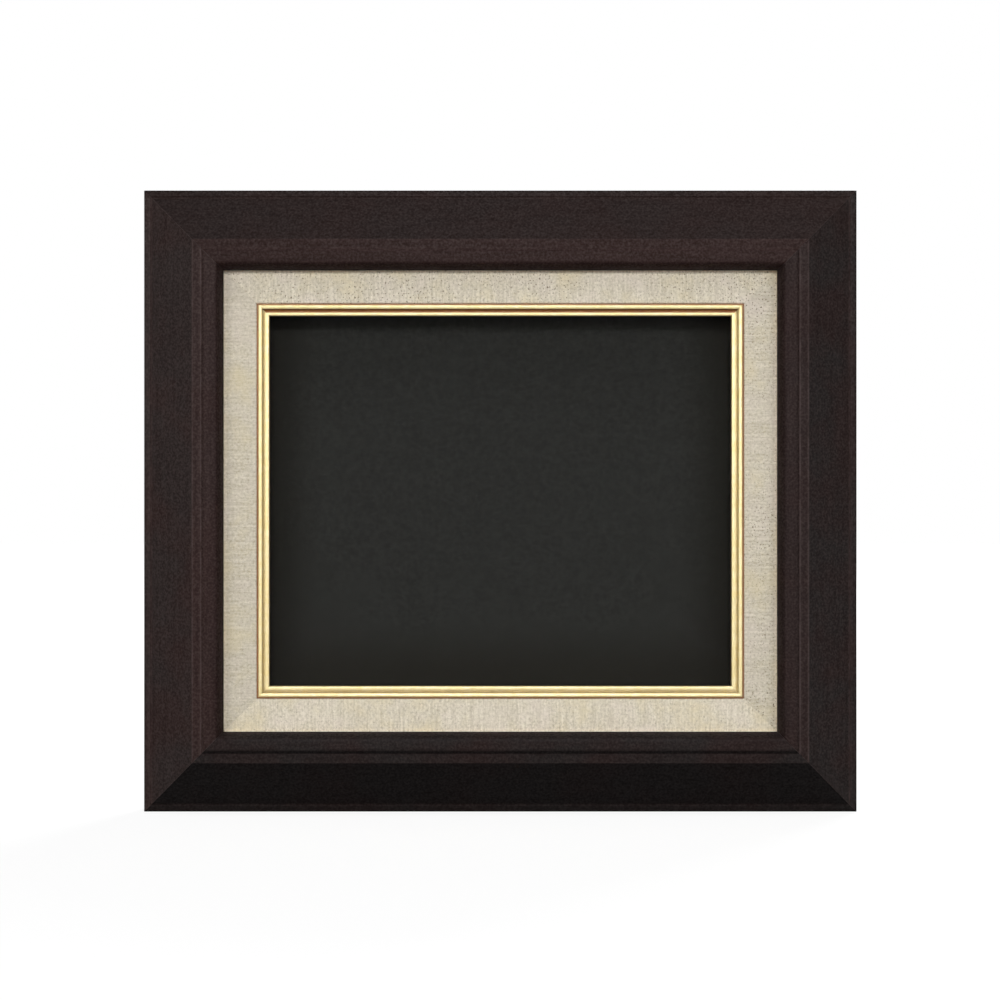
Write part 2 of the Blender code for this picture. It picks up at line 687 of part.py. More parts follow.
def main():
    """Builds the whole frame."""
    clear_scene()
    frame = bpy.data.objects.new("frame", None)
    bpy.context.scene.collection.objects.link(frame)
    dark_wood = make_material("dark_brown_wood", (0.030, 0.020, 0.018), 0.42)
    pale_wood = make_material("pale_wood", (0.52, 0.36, 0.20), 0.75)
    linen = make_material("linen", (0.58, 0.52, 0.40), 0.92)
    gilt = make_material("gilt", (0.83, 0.65, 0.27), 0.28, metallic=1.0)
    clear = make_material("clear_acrylic", (0.95, 0.97, 0.98), 0.05, alpha=0.12)
    fibreboard = make_material("fibreboard", (0.30, 0.19, 0.10), 0.80)
    charcoal = make_material("charcoal_card", (0.024, 0.024, 0.021), 0.95)
    zinc = make_material("zinc_steel", (0.60, 0.60, 0.58), 0.35, metallic=1.0)
    make_moulding(frame, dark_wood)
    make_liner(frame, pale_wood, linen, gilt)
    make_riser(frame, pale_wood)
    make_panels(frame, clear, fibreboard, charcoal)
    make_nails_and_screws(frame, zinc)
    make_turn_buttons(frame, zinc)
    make_hangers(frame, zinc)


main()
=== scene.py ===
"""The looks of an oil painting frame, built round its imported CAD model.

Every piece is a surface worked out with numpy. X runs across the frame and Z up it, and the picture
faces -Y. A place in a rail's section has an inset, measured from the frame's outer edge towards its
middle, and a height, measured from the riser's back towards the viewer. Lengths are in metres.
"""

import math

import bmesh
import bpy
import numpy as np
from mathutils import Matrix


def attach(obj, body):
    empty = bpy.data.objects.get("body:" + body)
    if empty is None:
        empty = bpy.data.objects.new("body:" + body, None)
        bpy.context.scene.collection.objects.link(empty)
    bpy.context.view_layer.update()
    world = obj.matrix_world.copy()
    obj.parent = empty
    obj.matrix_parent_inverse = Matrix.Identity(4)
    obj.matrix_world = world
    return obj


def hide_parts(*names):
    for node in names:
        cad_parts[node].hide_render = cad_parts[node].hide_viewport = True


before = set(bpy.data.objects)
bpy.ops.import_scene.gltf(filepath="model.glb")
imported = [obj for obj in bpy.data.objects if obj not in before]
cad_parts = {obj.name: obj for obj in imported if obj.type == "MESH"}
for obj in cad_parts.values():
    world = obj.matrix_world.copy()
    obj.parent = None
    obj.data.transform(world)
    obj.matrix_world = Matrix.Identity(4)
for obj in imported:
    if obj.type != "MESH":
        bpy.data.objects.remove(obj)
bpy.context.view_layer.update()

# Outer size, and the insets and heights of the CAD model
OUTER_WIDTH = 0.4136
OUTER_HEIGHT = 0.3606
SEAT_GAP = 0.0003
MOULDING_WIDTH = 0.0480
REBATE_INSET = 0.0425
MOULDING_BACK = 0.0083
LIP_BACK = 0.0329
LIP_TOP = 0.0341
RIDGE_TOP = 0.0398
OUTER_BAND_TOP = 0.0220
OUTER_BAND_WIDTH = 0.0039
OUTER_BAND_STEP = 0.0005
RIDGE_CORNER_INSET = 0.0311
RISE_FOOT_INSET = 0.0365
RISE_HEAD_INSET = 0.0377
THUMB_TOP = 0.0410
THUMB_BREAK = 0.0448
LINEN_OUTER_INSET = 0.0431
LINEN_INNER_INSET = 0.0665
LINEN_FRONT = 0.0293
LINEN_FOOT = 0.0203
LINEN_TUCK = 0.0247
LINEN_THICKNESS = 0.0006
LINEN_ROUND = 0.0012
LINEN_INNER_ROUND = 0.0008
CORE_OUTER_INSET = 0.0440
CORE_INNER_INSET = 0.0655
CORE_FRONT = 0.0284
CORE_LEDGE = 0.0244
BAY_INSET = 0.0688
FILLET_INSET = 0.0666
FILLET_BACK = 0.0247
FILLET_SHOULDER = 0.0008
FILLET_SHOULDER_TOP = 0.02955
FILLET_TOP = 0.0303
FILLET_BEAD_WIDTH = 0.0024
FILLET_COVE_WIDTH = 0.0008
FILLET_LOW_FOOT = 0.0279
FILLET_LOW_RISE = 0.0008
LOW_BEAD_POWER = 0.62
SIGHT_INSET = 0.0735
PANE_INSET = 0.0435
PANE_BACK = 0.0306
PANE_FRONT = 0.0326
RISER_INSET = 0.0285
RISER_THICKNESS = 0.0080
BOARD_REBATE_INSET = 0.0623
BOARD_LEDGE = 0.0036
BOARD_INSET = 0.0628
BOARD_BACK = 0.0003
BOARD_FRONT = 0.0033
FACING_INSET = 0.0698
FACING_FRONT = 0.0044

# Hardware
PIVOT_INSET = 0.0557
BUTTON_SPREAD = 0.0800
BUTTON_THICKNESS = 0.0012
BUTTON_HEAD_RADIUS = 0.0052
BUTTON_TIP_RADIUS = 0.0035
BUTTON_REACH = 0.0125
BUTTON_LIFT = 0.0016
HANGER_INSET = 0.0454
HANGER_RAISE = 0.0850
STRAP_WIDTH = 0.0110
STRAP_LENGTH = 0.0345
STRAP_THICKNESS = 0.0010
STRAP_SCREW_DROPS = (0.0195, 0.0285)
STRAP_FOOT_CORNER = 0.0042
CURL_RADIUS = 0.0023
RING_WIRE_RADIUS = 0.0010
RING_HALF_WIDTH = 0.0075
RING_LEG = 0.0030
RING_BOW = 0.0085
RING_CORNER = 0.0018
SCREW_SHANK_RADIUS = 0.00135
SCREW_HEAD_RADIUS = 0.0030
SCREW_HEAD_HEIGHT = 0.0018
SCREW_POINT = 0.0030
HOLE_RADIUS = 0.00165
SHORT_SCREW_BITE = 0.0072
RISER_SCREW_LENGTH = 0.0150
RISER_SCREW_INSET = 0.0355
RISER_SCREW_END = 0.0600
SUNK_SCREW_DROP = 0.00015
NAIL_LEG = 0.0050
NAIL_THICKNESS = 0.0006
NAIL_HEIGHT = 0.0100
NAIL_INSETS = (0.0085, 0.0190)

# How closely mitres meet, and how far their edges and other cut edges are eased
MITRE_GAP = 0.00004
MITRE_EASE = 0.00010
MITRE_MARGIN = 0.00035
CUT_EASE = 0.00035

# Where a moulding's painted light and shade, and its painted edge highlights, change: the foot of its face,
# its cove, its thumb, its shoulder and the edge of its lip
FACE_FOOT = 0.0195
COVE_INSET = 0.0372
THUMB_INSET = 0.0385
SHOULDER_INSET = 0.0425
LIP_EDGE_INSET = 0.0474
# How far to each side of an edge the painted highlight reaches
HIGHLIGHT_REACH = 0.0005
# How far in the lip's painted shade reaches on the linen, and the painted highlight along its edge
LIP_SHADE_END = 0.0520
PALE_EDGE_END = 0.0495
# How closely the linen's threads lie, across the rail and along it, and its slubs and its rings
WEFT_PITCH = 0.00074
WARP_PITCH = 0.00066
SLUB_SPACING = 0.0006
LINEN_STATION = 0.00042
# Painted shade at the card's border: its middle's height, and how far aside and below it is darkest
CARD_MIDDLE = 0.0110
CARD_HALF_WIDTH = 0.1340
CARD_HALF_HEIGHT = 0.1080
# How strongly the pane bends and mirrors light
PANE_INDEX = 1.05
# The sharpest bend between faces that is still shaded smooth
SMOOTH_ANGLE = math.radians(38)

SIDES = ("top", "right", "bottom", "left")


def by_side(*values):
    """Values given in the order of the sides."""
    return dict(zip(SIDES, values))


TURNS = by_side(0, 90, 180, -90)
# Painted light and shade on each length of moulding, on its outer band, slope and inner flats: darker on the
# bottom rail and lighter on the flats, where light from above and a highlight would fall
BAND_PAINTED_LIGHT = by_side(0.80, 0.80, 0.32, 1.24)
SLOPE_PAINTED_LIGHT = by_side(0.66, 0.84, 0.20, 1.14)
FLAT_PAINTED_LIGHT = by_side(1.04, 0.96, 0.72, 1.24)
# How much painted shade lies in the cove, how much painted light on the thumb, and how much paler it is
# towards the rail's clockwise end
COVE_PAINTED_SHADE = by_side(0.95, 0.92, 0.35, 0.95)
THUMB_PAINTED_LIGHT = by_side(0.97, 1.00, 1.20, 0.94)
STAIN_DRIFT = by_side(0.08, 0.04, 0.0, 0.0)
# How far each length leans from brown to grey on its slope and on its flats, and how strong the painted
# highlights along its edges are
SLOPE_GREYNESS = by_side(0.45, 1.00, 0.90, 0.75)
FLAT_GREYNESS = by_side(0.05, 0.45, 1.00, 0.30)
EDGE_HIGHLIGHT = by_side(0.15, 0.95, 0.20, 0.80)
# The painted highlight along the mitres, where the lacquer is also rubbed through
MITRE_HIGHLIGHT_AND_WEAR = 0.55
# How much painted light each strip of linen gets, how much painted shade lies where the lip covers it,
# how strong the painted highlight along its edge by the lip is, and how many dark flecks it has
STRIP_PAINTED_LIGHT = by_side(1.09, 0.98, 1.14, 0.97)
LIP_SHADE = by_side(0.14, 0.12, 0.0, 0.05)
LINEN_EDGE_HIGHLIGHT = by_side(0.35, 0.30, 0.12, 0.25)
LINEN_FLECKS = by_side(1.0, 1.0, 0.35, 0.25)
# How much brown wash lies in each fillet's cove; on the top fillet it is mostly painted shade
# under the tall bead
COVE_WASH_AND_SHADE = by_side(1.00, 0.12, 0.24, 0.20)


# ---- lines and sections


def arc(centre, radii, start, end, steps):
    """Points on an ellipse: its centre plus each radius times the cosine and sine of the angle."""
    angles = np.radians(np.linspace(start, end, steps + 1))
    return np.column_stack([centre[0] + radii[0] * np.cos(angles), centre[1] + radii[1] * np.sin(angles)])


def eased(corners, radii, steps=5):
    """A line through corners, each rounded by the arc of its radius that touches both straight runs.

    Along the arc, the unit vectors from its centre to its two ends are blended by sines of the angle
    between them.
    """
    corners = np.array(corners, float)
    runs = [corners[:1]]
    for before, corner, after, radius in zip(corners, corners[1:], corners[2:], radii[1:]):
        if radius == 0:
            runs.append(corner[None])
            continue
        back, ahead = ((end - corner) / np.linalg.norm(end - corner) for end in (before, after))
        half = math.acos(np.clip(back @ ahead, -1, 1)) / 2
        middle = (back + ahead) / np.linalg.norm(back + ahead)
        centre = corner + middle * radius / math.sin(half)
        touch = radius / math.tan(half)
        first, last = ((corner + way * touch - centre) / radius for way in (back, ahead))
        sweep = math.pi - 2 * half
        share = np.linspace(0, 1, steps + 1)[:, None]
        blend = (np.sin((1 - share) * sweep) * first + np.sin(share * sweep) * last) / math.sin(sweep)
        runs.append(centre + radius * blend)
    runs.append(corners[-1:])
    return np.concatenate(runs)


def divided(line, longest):
    """The line with its long runs divided evenly, so that no run is longer than that."""
    runs = []
    for start, end in zip(line, line[1:]):
        count = max(1, math.ceil(np.linalg.norm(end - start) / longest - 1e-6))
        runs.append(start + (end - start) * (np.arange(count) / count)[:, None])
    return np.concatenate([*runs, line[-1:]])


def along(line):
    """How far each point is along the line."""
    return np.concatenate([[0], np.cumsum(np.linalg.norm(np.diff(line, axis=0), axis=1))])


def evenly(line, count):
    """That many points at even steps along a line, its last point left out where it closes."""
    distance = along(line)
    places = np.arange(count) / count * distance[-1]
    return np.column_stack([np.interp(places, distance, line[:, axis]) for axis in range(line.shape[1])])


def outward_normals(loop):
    """Unit normals of a closed loop in its own plane, pointing away from what it encloses."""
    following = np.roll(loop, -1, axis=0)
    ahead = following - loop
    ahead /= np.linalg.norm(ahead, axis=1)[:, None]
    mean = ahead + np.roll(ahead, 1, axis=0)
    mean /= np.maximum(np.linalg.norm(mean, axis=1), 1e-9)[:, None]
    area = (loop[:, 0] * following[:, 1] - following[:, 0] * loop[:, 1]).sum() / 2
    return np.column_stack([mean[:, 1], -mean[:, 0]]) * np.sign(area)


def near(values, middle, reach):
    """1 at the middle, falling to 0 at the reach and beyond, with a flat top of three tenths of it."""
    return np.clip(1.3 - np.abs(values - middle) / reach, 0, 1)


def ramp(values, reach):
    """0 below nothing, rising evenly to 1 at the reach and beyond."""
    return np.clip(values / reach, 0, 1)


def moulding_section():
    """The moulding: outer band, long slope, ridge, cove and thumb, then the rebate and the back.

    The ridge's flat turns up through a small cove onto the thumb, which lies flat, then goes over a
    round shoulder and down to the lip, steeper towards its foot. Returns the closed loop, and for each
    of its runs 0 where the face is finished and 1 where it is raw.
    """
    middle = MOULDING_WIDTH / 2
    slope_foot = OUTER_BAND_TOP - OUTER_BAND_STEP
    pitch = (RIDGE_TOP - slope_foot) / (RIDGE_CORNER_INSET - OUTER_BAND_WIDTH)
    front = eased(
        [
            (middle, MOULDING_BACK), (0, MOULDING_BACK), (0, OUTER_BAND_TOP),
            (OUTER_BAND_WIDTH - OUTER_BAND_STEP / 2, OUTER_BAND_TOP), (OUTER_BAND_WIDTH, slope_foot),
            (RIDGE_CORNER_INSET - 0.0008, RIDGE_TOP - 0.0008 * pitch), (RIDGE_CORNER_INSET, RIDGE_TOP),
            (RIDGE_CORNER_INSET + 0.0008, RIDGE_TOP), (RISE_FOOT_INSET - 0.0010, RIDGE_TOP),
        ],
        (0, CUT_EASE, 0.0008, 0.0002, 0.0002, 0, 0.0012, 0),
    )
    shoulder_foot = (0.5 * THUMB_BREAK + 0.5 * MOULDING_WIDTH, 0.55 * THUMB_TOP + 0.45 * LIP_TOP)
    inside = eased(
        [
            front[-1], (RISE_FOOT_INSET, RIDGE_TOP), (RISE_HEAD_INSET, THUMB_TOP),
            (THUMB_BREAK, THUMB_TOP - 0.0001), shoulder_foot, (MOULDING_WIDTH, LIP_TOP),
            (MOULDING_WIDTH, LIP_BACK), (REBATE_INSET, LIP_BACK), (REBATE_INSET, MOULDING_BACK),
            (middle, MOULDING_BACK),
        ],
        (0, 0.0014, 0.0014, 0.0022, 0.008, 0.0004, 0.00025, 0, CUT_EASE), 8,
    )
    loop = divided(np.concatenate([front, inside[1:]]), 0.0016)[:-1]
    following = np.roll(loop, -1, axis=0)
    centre = (loop + following) / 2
    at_back = centre[:, 1] < MOULDING_BACK + CUT_EASE * 0.6
    in_rebate = (centre[:, 0] > REBATE_INSET - 1e-5) & (centre[:, 1] < LIP_BACK + 1e-5)
    return loop, (at_back | in_rebate).astype(int)


def core_section():
    """The liner's core, with the ledge that the fillet sits on."""
    middle = ((CORE_OUTER_INSET + BAY_INSET) / 2, MOULDING_BACK)
    corners = [
        middle, (CORE_OUTER_INSET, MOULDING_BACK), (CORE_OUTER_INSET, CORE_FRONT),
        (CORE_INNER_INSET, CORE_FRONT), (CORE_INNER_INSET, CORE_LEDGE), (BAY_INSET, CORE_LEDGE),
        (BAY_INSET, MOULDING_BACK), middle,
    ]
    return divided(eased(corners, (0, CUT_EASE, 0.0004, 0.0004, 0, CUT_EASE, CUT_EASE)), 0.004)[:-1]


def linen_lines():
    """The cloth's outer and inner faces in section, from the foot of its outer turn to its tuck."""
    outer_centre = (LINEN_OUTER_INSET + LINEN_ROUND, LINEN_FRONT - LINEN_ROUND)
    inner_centre = (LINEN_INNER_INSET - LINEN_INNER_ROUND, LINEN_FRONT - LINEN_INNER_ROUND)
    lines = []
    for depth in (0, LINEN_THICKNESS):
        radius, inner_radius = LINEN_ROUND - depth, LINEN_INNER_ROUND - depth
        lines.append(np.concatenate([
            [(LINEN_OUTER_INSET + depth, LINEN_FOOT)],
            arc(outer_centre, (radius, radius), 180, 90, 8),
            arc(inner_centre, (inner_radius, inner_radius), 90, 0, 8),
            [(LINEN_INNER_INSET - depth, LINEN_TUCK)],
        ]))
    return lines


def fillet_section():
    """The fillet: a shoulder, a tall bead, a cove and a low bead at the sight edge.

    The tall bead's crest is nearer its outer side. The low bead is an ellipse flattened by raising the
    cosine and the sine of its angle to a power below 1. Returns the closed loop, and how strongly each
    point is toned on the shoulder and in the cove, which hold the brown wash that the beads are wiped
    clean of.
    """
    bead_inset = FILLET_INSET + FILLET_SHOULDER
    cove_inset = bead_inset + FILLET_BEAD_WIDTH
    low_inset = cove_inset + FILLET_COVE_WIDTH
    low_half = (SIGHT_INSET - low_inset) / 2
    middle = ((FILLET_INSET + SIGHT_INSET) / 2, FILLET_BACK)
    start = eased(
        [middle, (FILLET_INSET, FILLET_BACK), (FILLET_INSET, FILLET_SHOULDER_TOP),
         (bead_inset, FILLET_SHOULDER_TOP)],
        (0, 0.0002, 0.0002),
    )
    rise, outer_part = FILLET_TOP - FILLET_SHOULDER_TOP, 0.38 * FILLET_BEAD_WIDTH
    crest = (bead_inset + outer_part, FILLET_SHOULDER_TOP)
    bead = np.concatenate([arc(crest, (outer_part, rise), 180, 90, 12),
                           arc(crest, (FILLET_BEAD_WIDTH - outer_part, rise), 90, 0, 16)[1:]])
    cove_radii = (FILLET_COVE_WIDTH, FILLET_SHOULDER_TOP - FILLET_LOW_FOOT)
    cove = arc((low_inset, FILLET_SHOULDER_TOP), cove_radii, 180, 270, 14)
    low = arc((0, 0), (1, 1), 180, 0, 32)
    low = np.sign(low) * np.abs(low) ** LOW_BEAD_POWER * (low_half, FILLET_LOW_RISE)
    low = low + (low_inset + low_half, FILLET_LOW_FOOT)
    end = eased([(SIGHT_INSET, FILLET_LOW_FOOT), (SIGHT_INSET, FILLET_BACK), middle], (0, 0.0002))
    loop = divided(np.concatenate([start, bead[1:], cove[1:], low[1:], end[1:]]), 0.0008)[:-1]
    inset, height = loop.T
    shoulder = ramp(bead_inset + 0.00025 - inset, 0.0003)
    in_cove = np.minimum((inset - cove_inset + 0.0003) / 0.0004, (low_inset + 0.0015 - inset) / 0.0006)
    return loop, np.where(height < FILLET_BACK + 0.001, 1, shoulder), ramp(in_cove, 1)


def riser_section():
    """The riser: a flat batten with the rebate that the back board drops into."""
    middle = ((RISER_INSET + BOARD_REBATE_INSET) / 2, 0)
    corners = [
        middle, (RISER_INSET, 0), (RISER_INSET, RISER_THICKNESS), (BAY_INSET, RISER_THICKNESS),
        (BAY_INSET, BOARD_LEDGE), (BOARD_REBATE_INSET, BOARD_LEDGE), (BOARD_REBATE_INSET, 0), middle,
    ]
    radii = (0, 0.0006, CUT_EASE, CUT_EASE, CUT_EASE, 0, CUT_EASE)
    return divided(eased(corners, radii), 0.003)[:-1]


# ---- meshes


def turn_about_y(points, degrees):
    """Points turned about the Y axis: x becomes x cos + z sin, and z becomes z cos - x sin."""
    cosine, sine = math.cos(math.radians(degrees)), math.sin(math.radians(degrees))
    x, y, z = np.moveaxis(points, -1, 0)
    return np.stack([x * cosine + z * sine, y, z * cosine - x * sine], axis=-1)


def on_side(points, side):
    """Points of a rail that lies as the top rail does, its outer edge at Z = 0, put on their side."""
    reach = OUTER_HEIGHT / 2 if side in ("top", "bottom") else OUTER_WIDTH / 2
    return turn_about_y(points + np.array([0, 0, reach]), TURNS[side])


def side_length(side):
    """A side's full outer length."""
    return OUTER_WIDTH if side in ("top", "bottom") else OUTER_HEIGHT


def grid_mesh(name, grid, wrap_rings=False, maps=None, point_values=None, zones=None):
    """A mesh from a grid of points, rings by places around each ring, every ring closed on itself.

    Neighbouring points make four-sided faces. Where the rings don't close on each other, a face over
    the first and one over the last shut the ends. maps gives each point, with one more place round
    each ring for the seam, its two flat coordinates. zones gives the finish of each run round a ring,
    and the ends have the first.
    """
    rings, places = grid.shape[:2]
    row, column = np.mgrid[: rings if wrap_rings else rings - 1, :places]
    corner_rows = np.stack([row, row, row + 1, row + 1], -1)
    corner_places = np.stack([column, column + 1, column + 1, column], -1)
    faces = ((corner_rows % rings) * places + corner_places % places).reshape(-1, 4).tolist()
    if not wrap_rings:
        faces += [list(range(places))[::-1], list(range((rings - 1) * places, rings * places))]
    mesh = bpy.data.meshes.new(name)
    mesh.from_pydata(grid.reshape(-1, 3).tolist(), [], faces)
    if maps is not None:
        flat = maps[corner_rows.reshape(-1), corner_places.reshape(-1)]
        if not wrap_rings:
            flat = np.concatenate([flat, maps[0, :places][::-1], maps[-1, :places]])
        mesh.uv_layers.new(name="grain").data.foreach_set("uv", flat.astype(np.float32).ravel())
    for label, values in (point_values or {}).items():
        values = np.broadcast_to(values, (rings, places)).astype(np.float32)
        mesh.attributes.new(label, "FLOAT", "POINT").data.foreach_set("value", values.ravel())
    if zones is not None:
        index = [*np.broadcast_to(zones, row.shape).ravel(), 0, 0][: len(faces)]
        mesh.polygons.foreach_set("material_index", np.array(index, np.int32))
    return mesh


def smoothed(mesh):
    """The mesh shaded smooth but for real edges."""
    mesh.shade_smooth()
    mesh.set_sharp_from_angle(angle=SMOOTH_ANGLE)
    return mesh


def settle(mesh, merge=1e-7):
    """Merges doubled points, points every face outwards and smooths."""
    bm = bmesh.new()
    bm.from_mesh(mesh)
    bmesh.ops.remove_doubles(bm, verts=bm.verts, dist=merge)
    bmesh.ops.recalc_face_normals(bm, faces=bm.faces)
    bm.to_mesh(mesh)
    bm.free()
    return smoothed(mesh)


def in_scene(name, data):
    """A new object of the scene."""
    made = bpy.data.objects.new(name, data)
    bpy.context.scene.collection.objects.link(made)
    return made


def bored(mesh, cutters, finishes=()):
    """The mesh with the shapes of the cutters taken out of it. The bores have the last of its finishes."""
    tool_mesh = bpy.data.meshes.new("cutters")
    bm = bmesh.new()
    for cutter in cutters:
        bm.from_mesh(cutter)
    bm.to_mesh(tool_mesh)
    bm.free()
    for part in (mesh, tool_mesh):
        for finish in finishes:
            part.materials.append(finish)
    last = np.full(len(tool_mesh.polygons), max(len(finishes) - 1, 0), np.int32)
    tool_mesh.polygons.foreach_set("material_index", last)
    body, tool = in_scene("body", mesh), in_scene("tool", tool_mesh)
    cut = body.modifiers.new("cut", "BOOLEAN")
    cut.operation, cut.object = "DIFFERENCE", tool
    done = bpy.data.meshes.new_from_object(body.evaluated_get(bpy.context.evaluated_depsgraph_get()))
    for item in (body, tool):
        bpy.data.objects.remove(item)
    return smoothed(done)


def add_piece(name, mesh, finish, node, body="frame"):
    """Puts a mesh in the scene as a piece that rides on a body and stands for its CAD node."""
    if not mesh.materials:
        mesh.materials.append(finish)
    piece = in_scene(name, mesh)
    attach(piece, body)
    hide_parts(node)
    return piece


def rail_grid(loop, length, ease, stations=25):
    """A mitred rail: its section loop carried along X, ends cut at 45 degrees and their edges eased.

    A point's place along the rail is a share from -1 to 1 of half the length less its inset and a
    margin. At each end one more ring stands at the mitre, and a last one a little further out, drawn
    into the section by the same amount.
    """
    normals = outward_normals(loop)
    inner = loop - normals * ease
    reach = length / 2 - loop[:, 0] - MITRE_GAP / 2 - ease
    end_reach = length / 2 - inner[:, 0] - MITRE_GAP / 2
    share = np.linspace(-1, 1, stations)[:, None]
    x = np.concatenate([-end_reach[None], -reach[None], share * (reach - MITRE_MARGIN), reach[None],
                        end_reach[None]])
    section = np.concatenate([inner[None], np.repeat(loop[None], stations + 2, axis=0), inner[None]])
    return np.stack([x, -section[..., 1], -section[..., 0]], axis=-1)


def rail_maps(grid, loop, shift):
    """Flat coordinates of a rail: how far along it, and how far round its section, in metres."""
    round_it = along(np.concatenate([loop, loop[:1]]))
    lengthwise = np.concatenate([grid[..., 0], grid[:, :1, 0]], axis=1) + shift
    return np.stack([lengthwise, np.broadcast_to(round_it, lengthwise.shape) + shift * 0.37], axis=-1)


def spun(profile, sides=40):
    """A closed round shape about Y: each point of radius and height makes a ring."""
    angle = np.arange(sides) / sides * 2 * math.pi
    radius, height = np.array(profile, float).T[..., None]
    return np.stack([radius * np.cos(angle), height + 0 * angle, radius * np.sin(angle)], axis=-1)


def round_cutter(profile, x=0.0, z=0.0):
    """A round cutter along Y, from its points of radius and height."""
    return settle(grid_mesh("cutter", spun(profile) + (x, 0, z)))


def bore(back, front, x=0.0, z=0.0):
    """A cutter for a screw's hole, from one height to another."""
    return round_cutter([(HOLE_RADIUS, -back), (HOLE_RADIUS, -front)], x, z)


def placed(mesh, change):
    """The mesh with its points put through a function."""
    co = np.zeros(len(mesh.vertices) * 3, np.float64)
    mesh.vertices.foreach_get("co", co)
    mesh.vertices.foreach_set("co", change(co.reshape(-1, 3)).astype(np.float32).ravel())
    mesh.update()
    return mesh


# ---- finishes


def linear(red, green, blue):
    """A colour given from 0 to 255 as a screen shows it, turned into light."""
    share = np.array([red, green, blue], float) / 255
    light = np.where(share <= 0.04045, share / 12.92, ((share + 0.055) / 1.055) ** 2.4)
    return (*light.tolist(), 1.0)


def dimmed(colour, share):
    """A colour with that share of its light."""
    return (*(value * share for value in colour[:3]), 1.0)


class Nodes:
    """The shader nodes of a material or of the world.

    A value handed to them is a plain one, or another node's output to join to.
    """

    def __init__(self, owner):
        owner.use_nodes = True
        self.owner, self.tree = owner, owner.node_tree

    def put(self, socket, value):
        """Joins an output to an input, or sets a plain value there."""
        if isinstance(value, bpy.types.NodeSocket):
            self.tree.links.new(value, socket)
        else:
            socket.default_value = value

    def add(self, kind, inputs=None, **settings):
        """Adds a node, its inputs given by their names or numbers."""
        made = self.tree.nodes.new("ShaderNode" + kind)
        for label, value in settings.items():
            setattr(made, label, value)
        for label, value in (inputs or {}).items():
            self.put(made.inputs[label], value)
        return made

    def flat(self):
        """The piece's flat coordinates, along a rail and round its section."""
        return self.add("UVMap", uv_map="grain").outputs["UV"]

    def space(self):
        """The place in the frame."""
        return self.add("TexCoord").outputs["Object"]

    def carried(self, label):
        """A value that the mesh carries at each point."""
        return self.add("Attribute", attribute_name=label).outputs["Fac"]

    def noise(self, place, scale, detail, roughness, distortion=0.0, turn=0.0):
        """Smooth noise, from 0 to 1. Three scales draw its pattern out one way."""
        if isinstance(scale, tuple):
            uneven = {"Vector": place, "Scale": scale, "Rotation": (0, 0, turn)}
            place, scale = self.add("Mapping", uneven).outputs["Vector"], 1.0
        inputs = {"Vector": place, "Scale": scale, "Detail": detail, "Roughness": roughness,
                  "Distortion": distortion}
        return self.add("TexNoise", inputs).outputs["Fac"]

    def sums(self, operation, *values):
        """A Math node."""
        return self.add("Math", dict(enumerate(values)), operation=operation).outputs[0]

    def times(self, first, second):
        """One value times another."""
        return self.sums("MULTIPLY", first, second)

    def spread(self, value, low, high, to_low=0.0, to_high=1.0):
        """A value carried from one range to another, and held at its ends."""
        inputs = {"Value": value, "From Min": low, "From Max": high, "To Min": to_low, "To Max": to_high}
        return self.add("MapRange", inputs).outputs["Result"]

    def blend(self, factor, first, second):
        """Two colours mixed by a factor."""
        return self.add("Mix", {0: factor, 6: first, 7: second}, data_type="RGBA").outputs[2]

    def layered(self, colour, *layers):
        """Paints over a colour, each where its value goes from low to high, and up to its share."""
        for value, low, high, share, paint in layers:
            colour = self.blend(self.spread(value, low, high, 0.0, share), colour, paint)
        return colour

    def scaled(self, colour, factor):
        """A colour made lighter or darker by a factor."""
        return self.add("VectorMath", {0: colour, 3: factor}, operation="SCALE").outputs["Vector"]

    def relief(self, height, distance, strength):
        """A bump from a height, in metres."""
        inputs = {"Height": height, "Distance": distance, "Strength": strength}
        return self.add("Bump", inputs).outputs["Normal"]

    def surface(self, **inputs):
        """Sets or joins the inputs of the material's Principled surface, and returns the material."""
        for label, value in inputs.items():
            self.put(self.tree.nodes["Principled BSDF"].inputs[label.replace("_", " ")], value)
        return self.owner

    def seen_or_lit(self, output, lit, seen):
        """One shader for rays from the camera, off gloss or through glass, and another for the rest."""
        path = self.add("LightPath").outputs
        direct = self.sums("MAXIMUM", path["Is Camera Ray"], path["Is Glossy Ray"])
        direct = self.sums("MAXIMUM", direct, path["Is Transmission Ray"])
        mixed = self.add("MixShader", {0: direct, 1: lit.outputs[0], 2: seen.outputs[0]})
        self.add(output, {"Surface": mixed.outputs[0]})


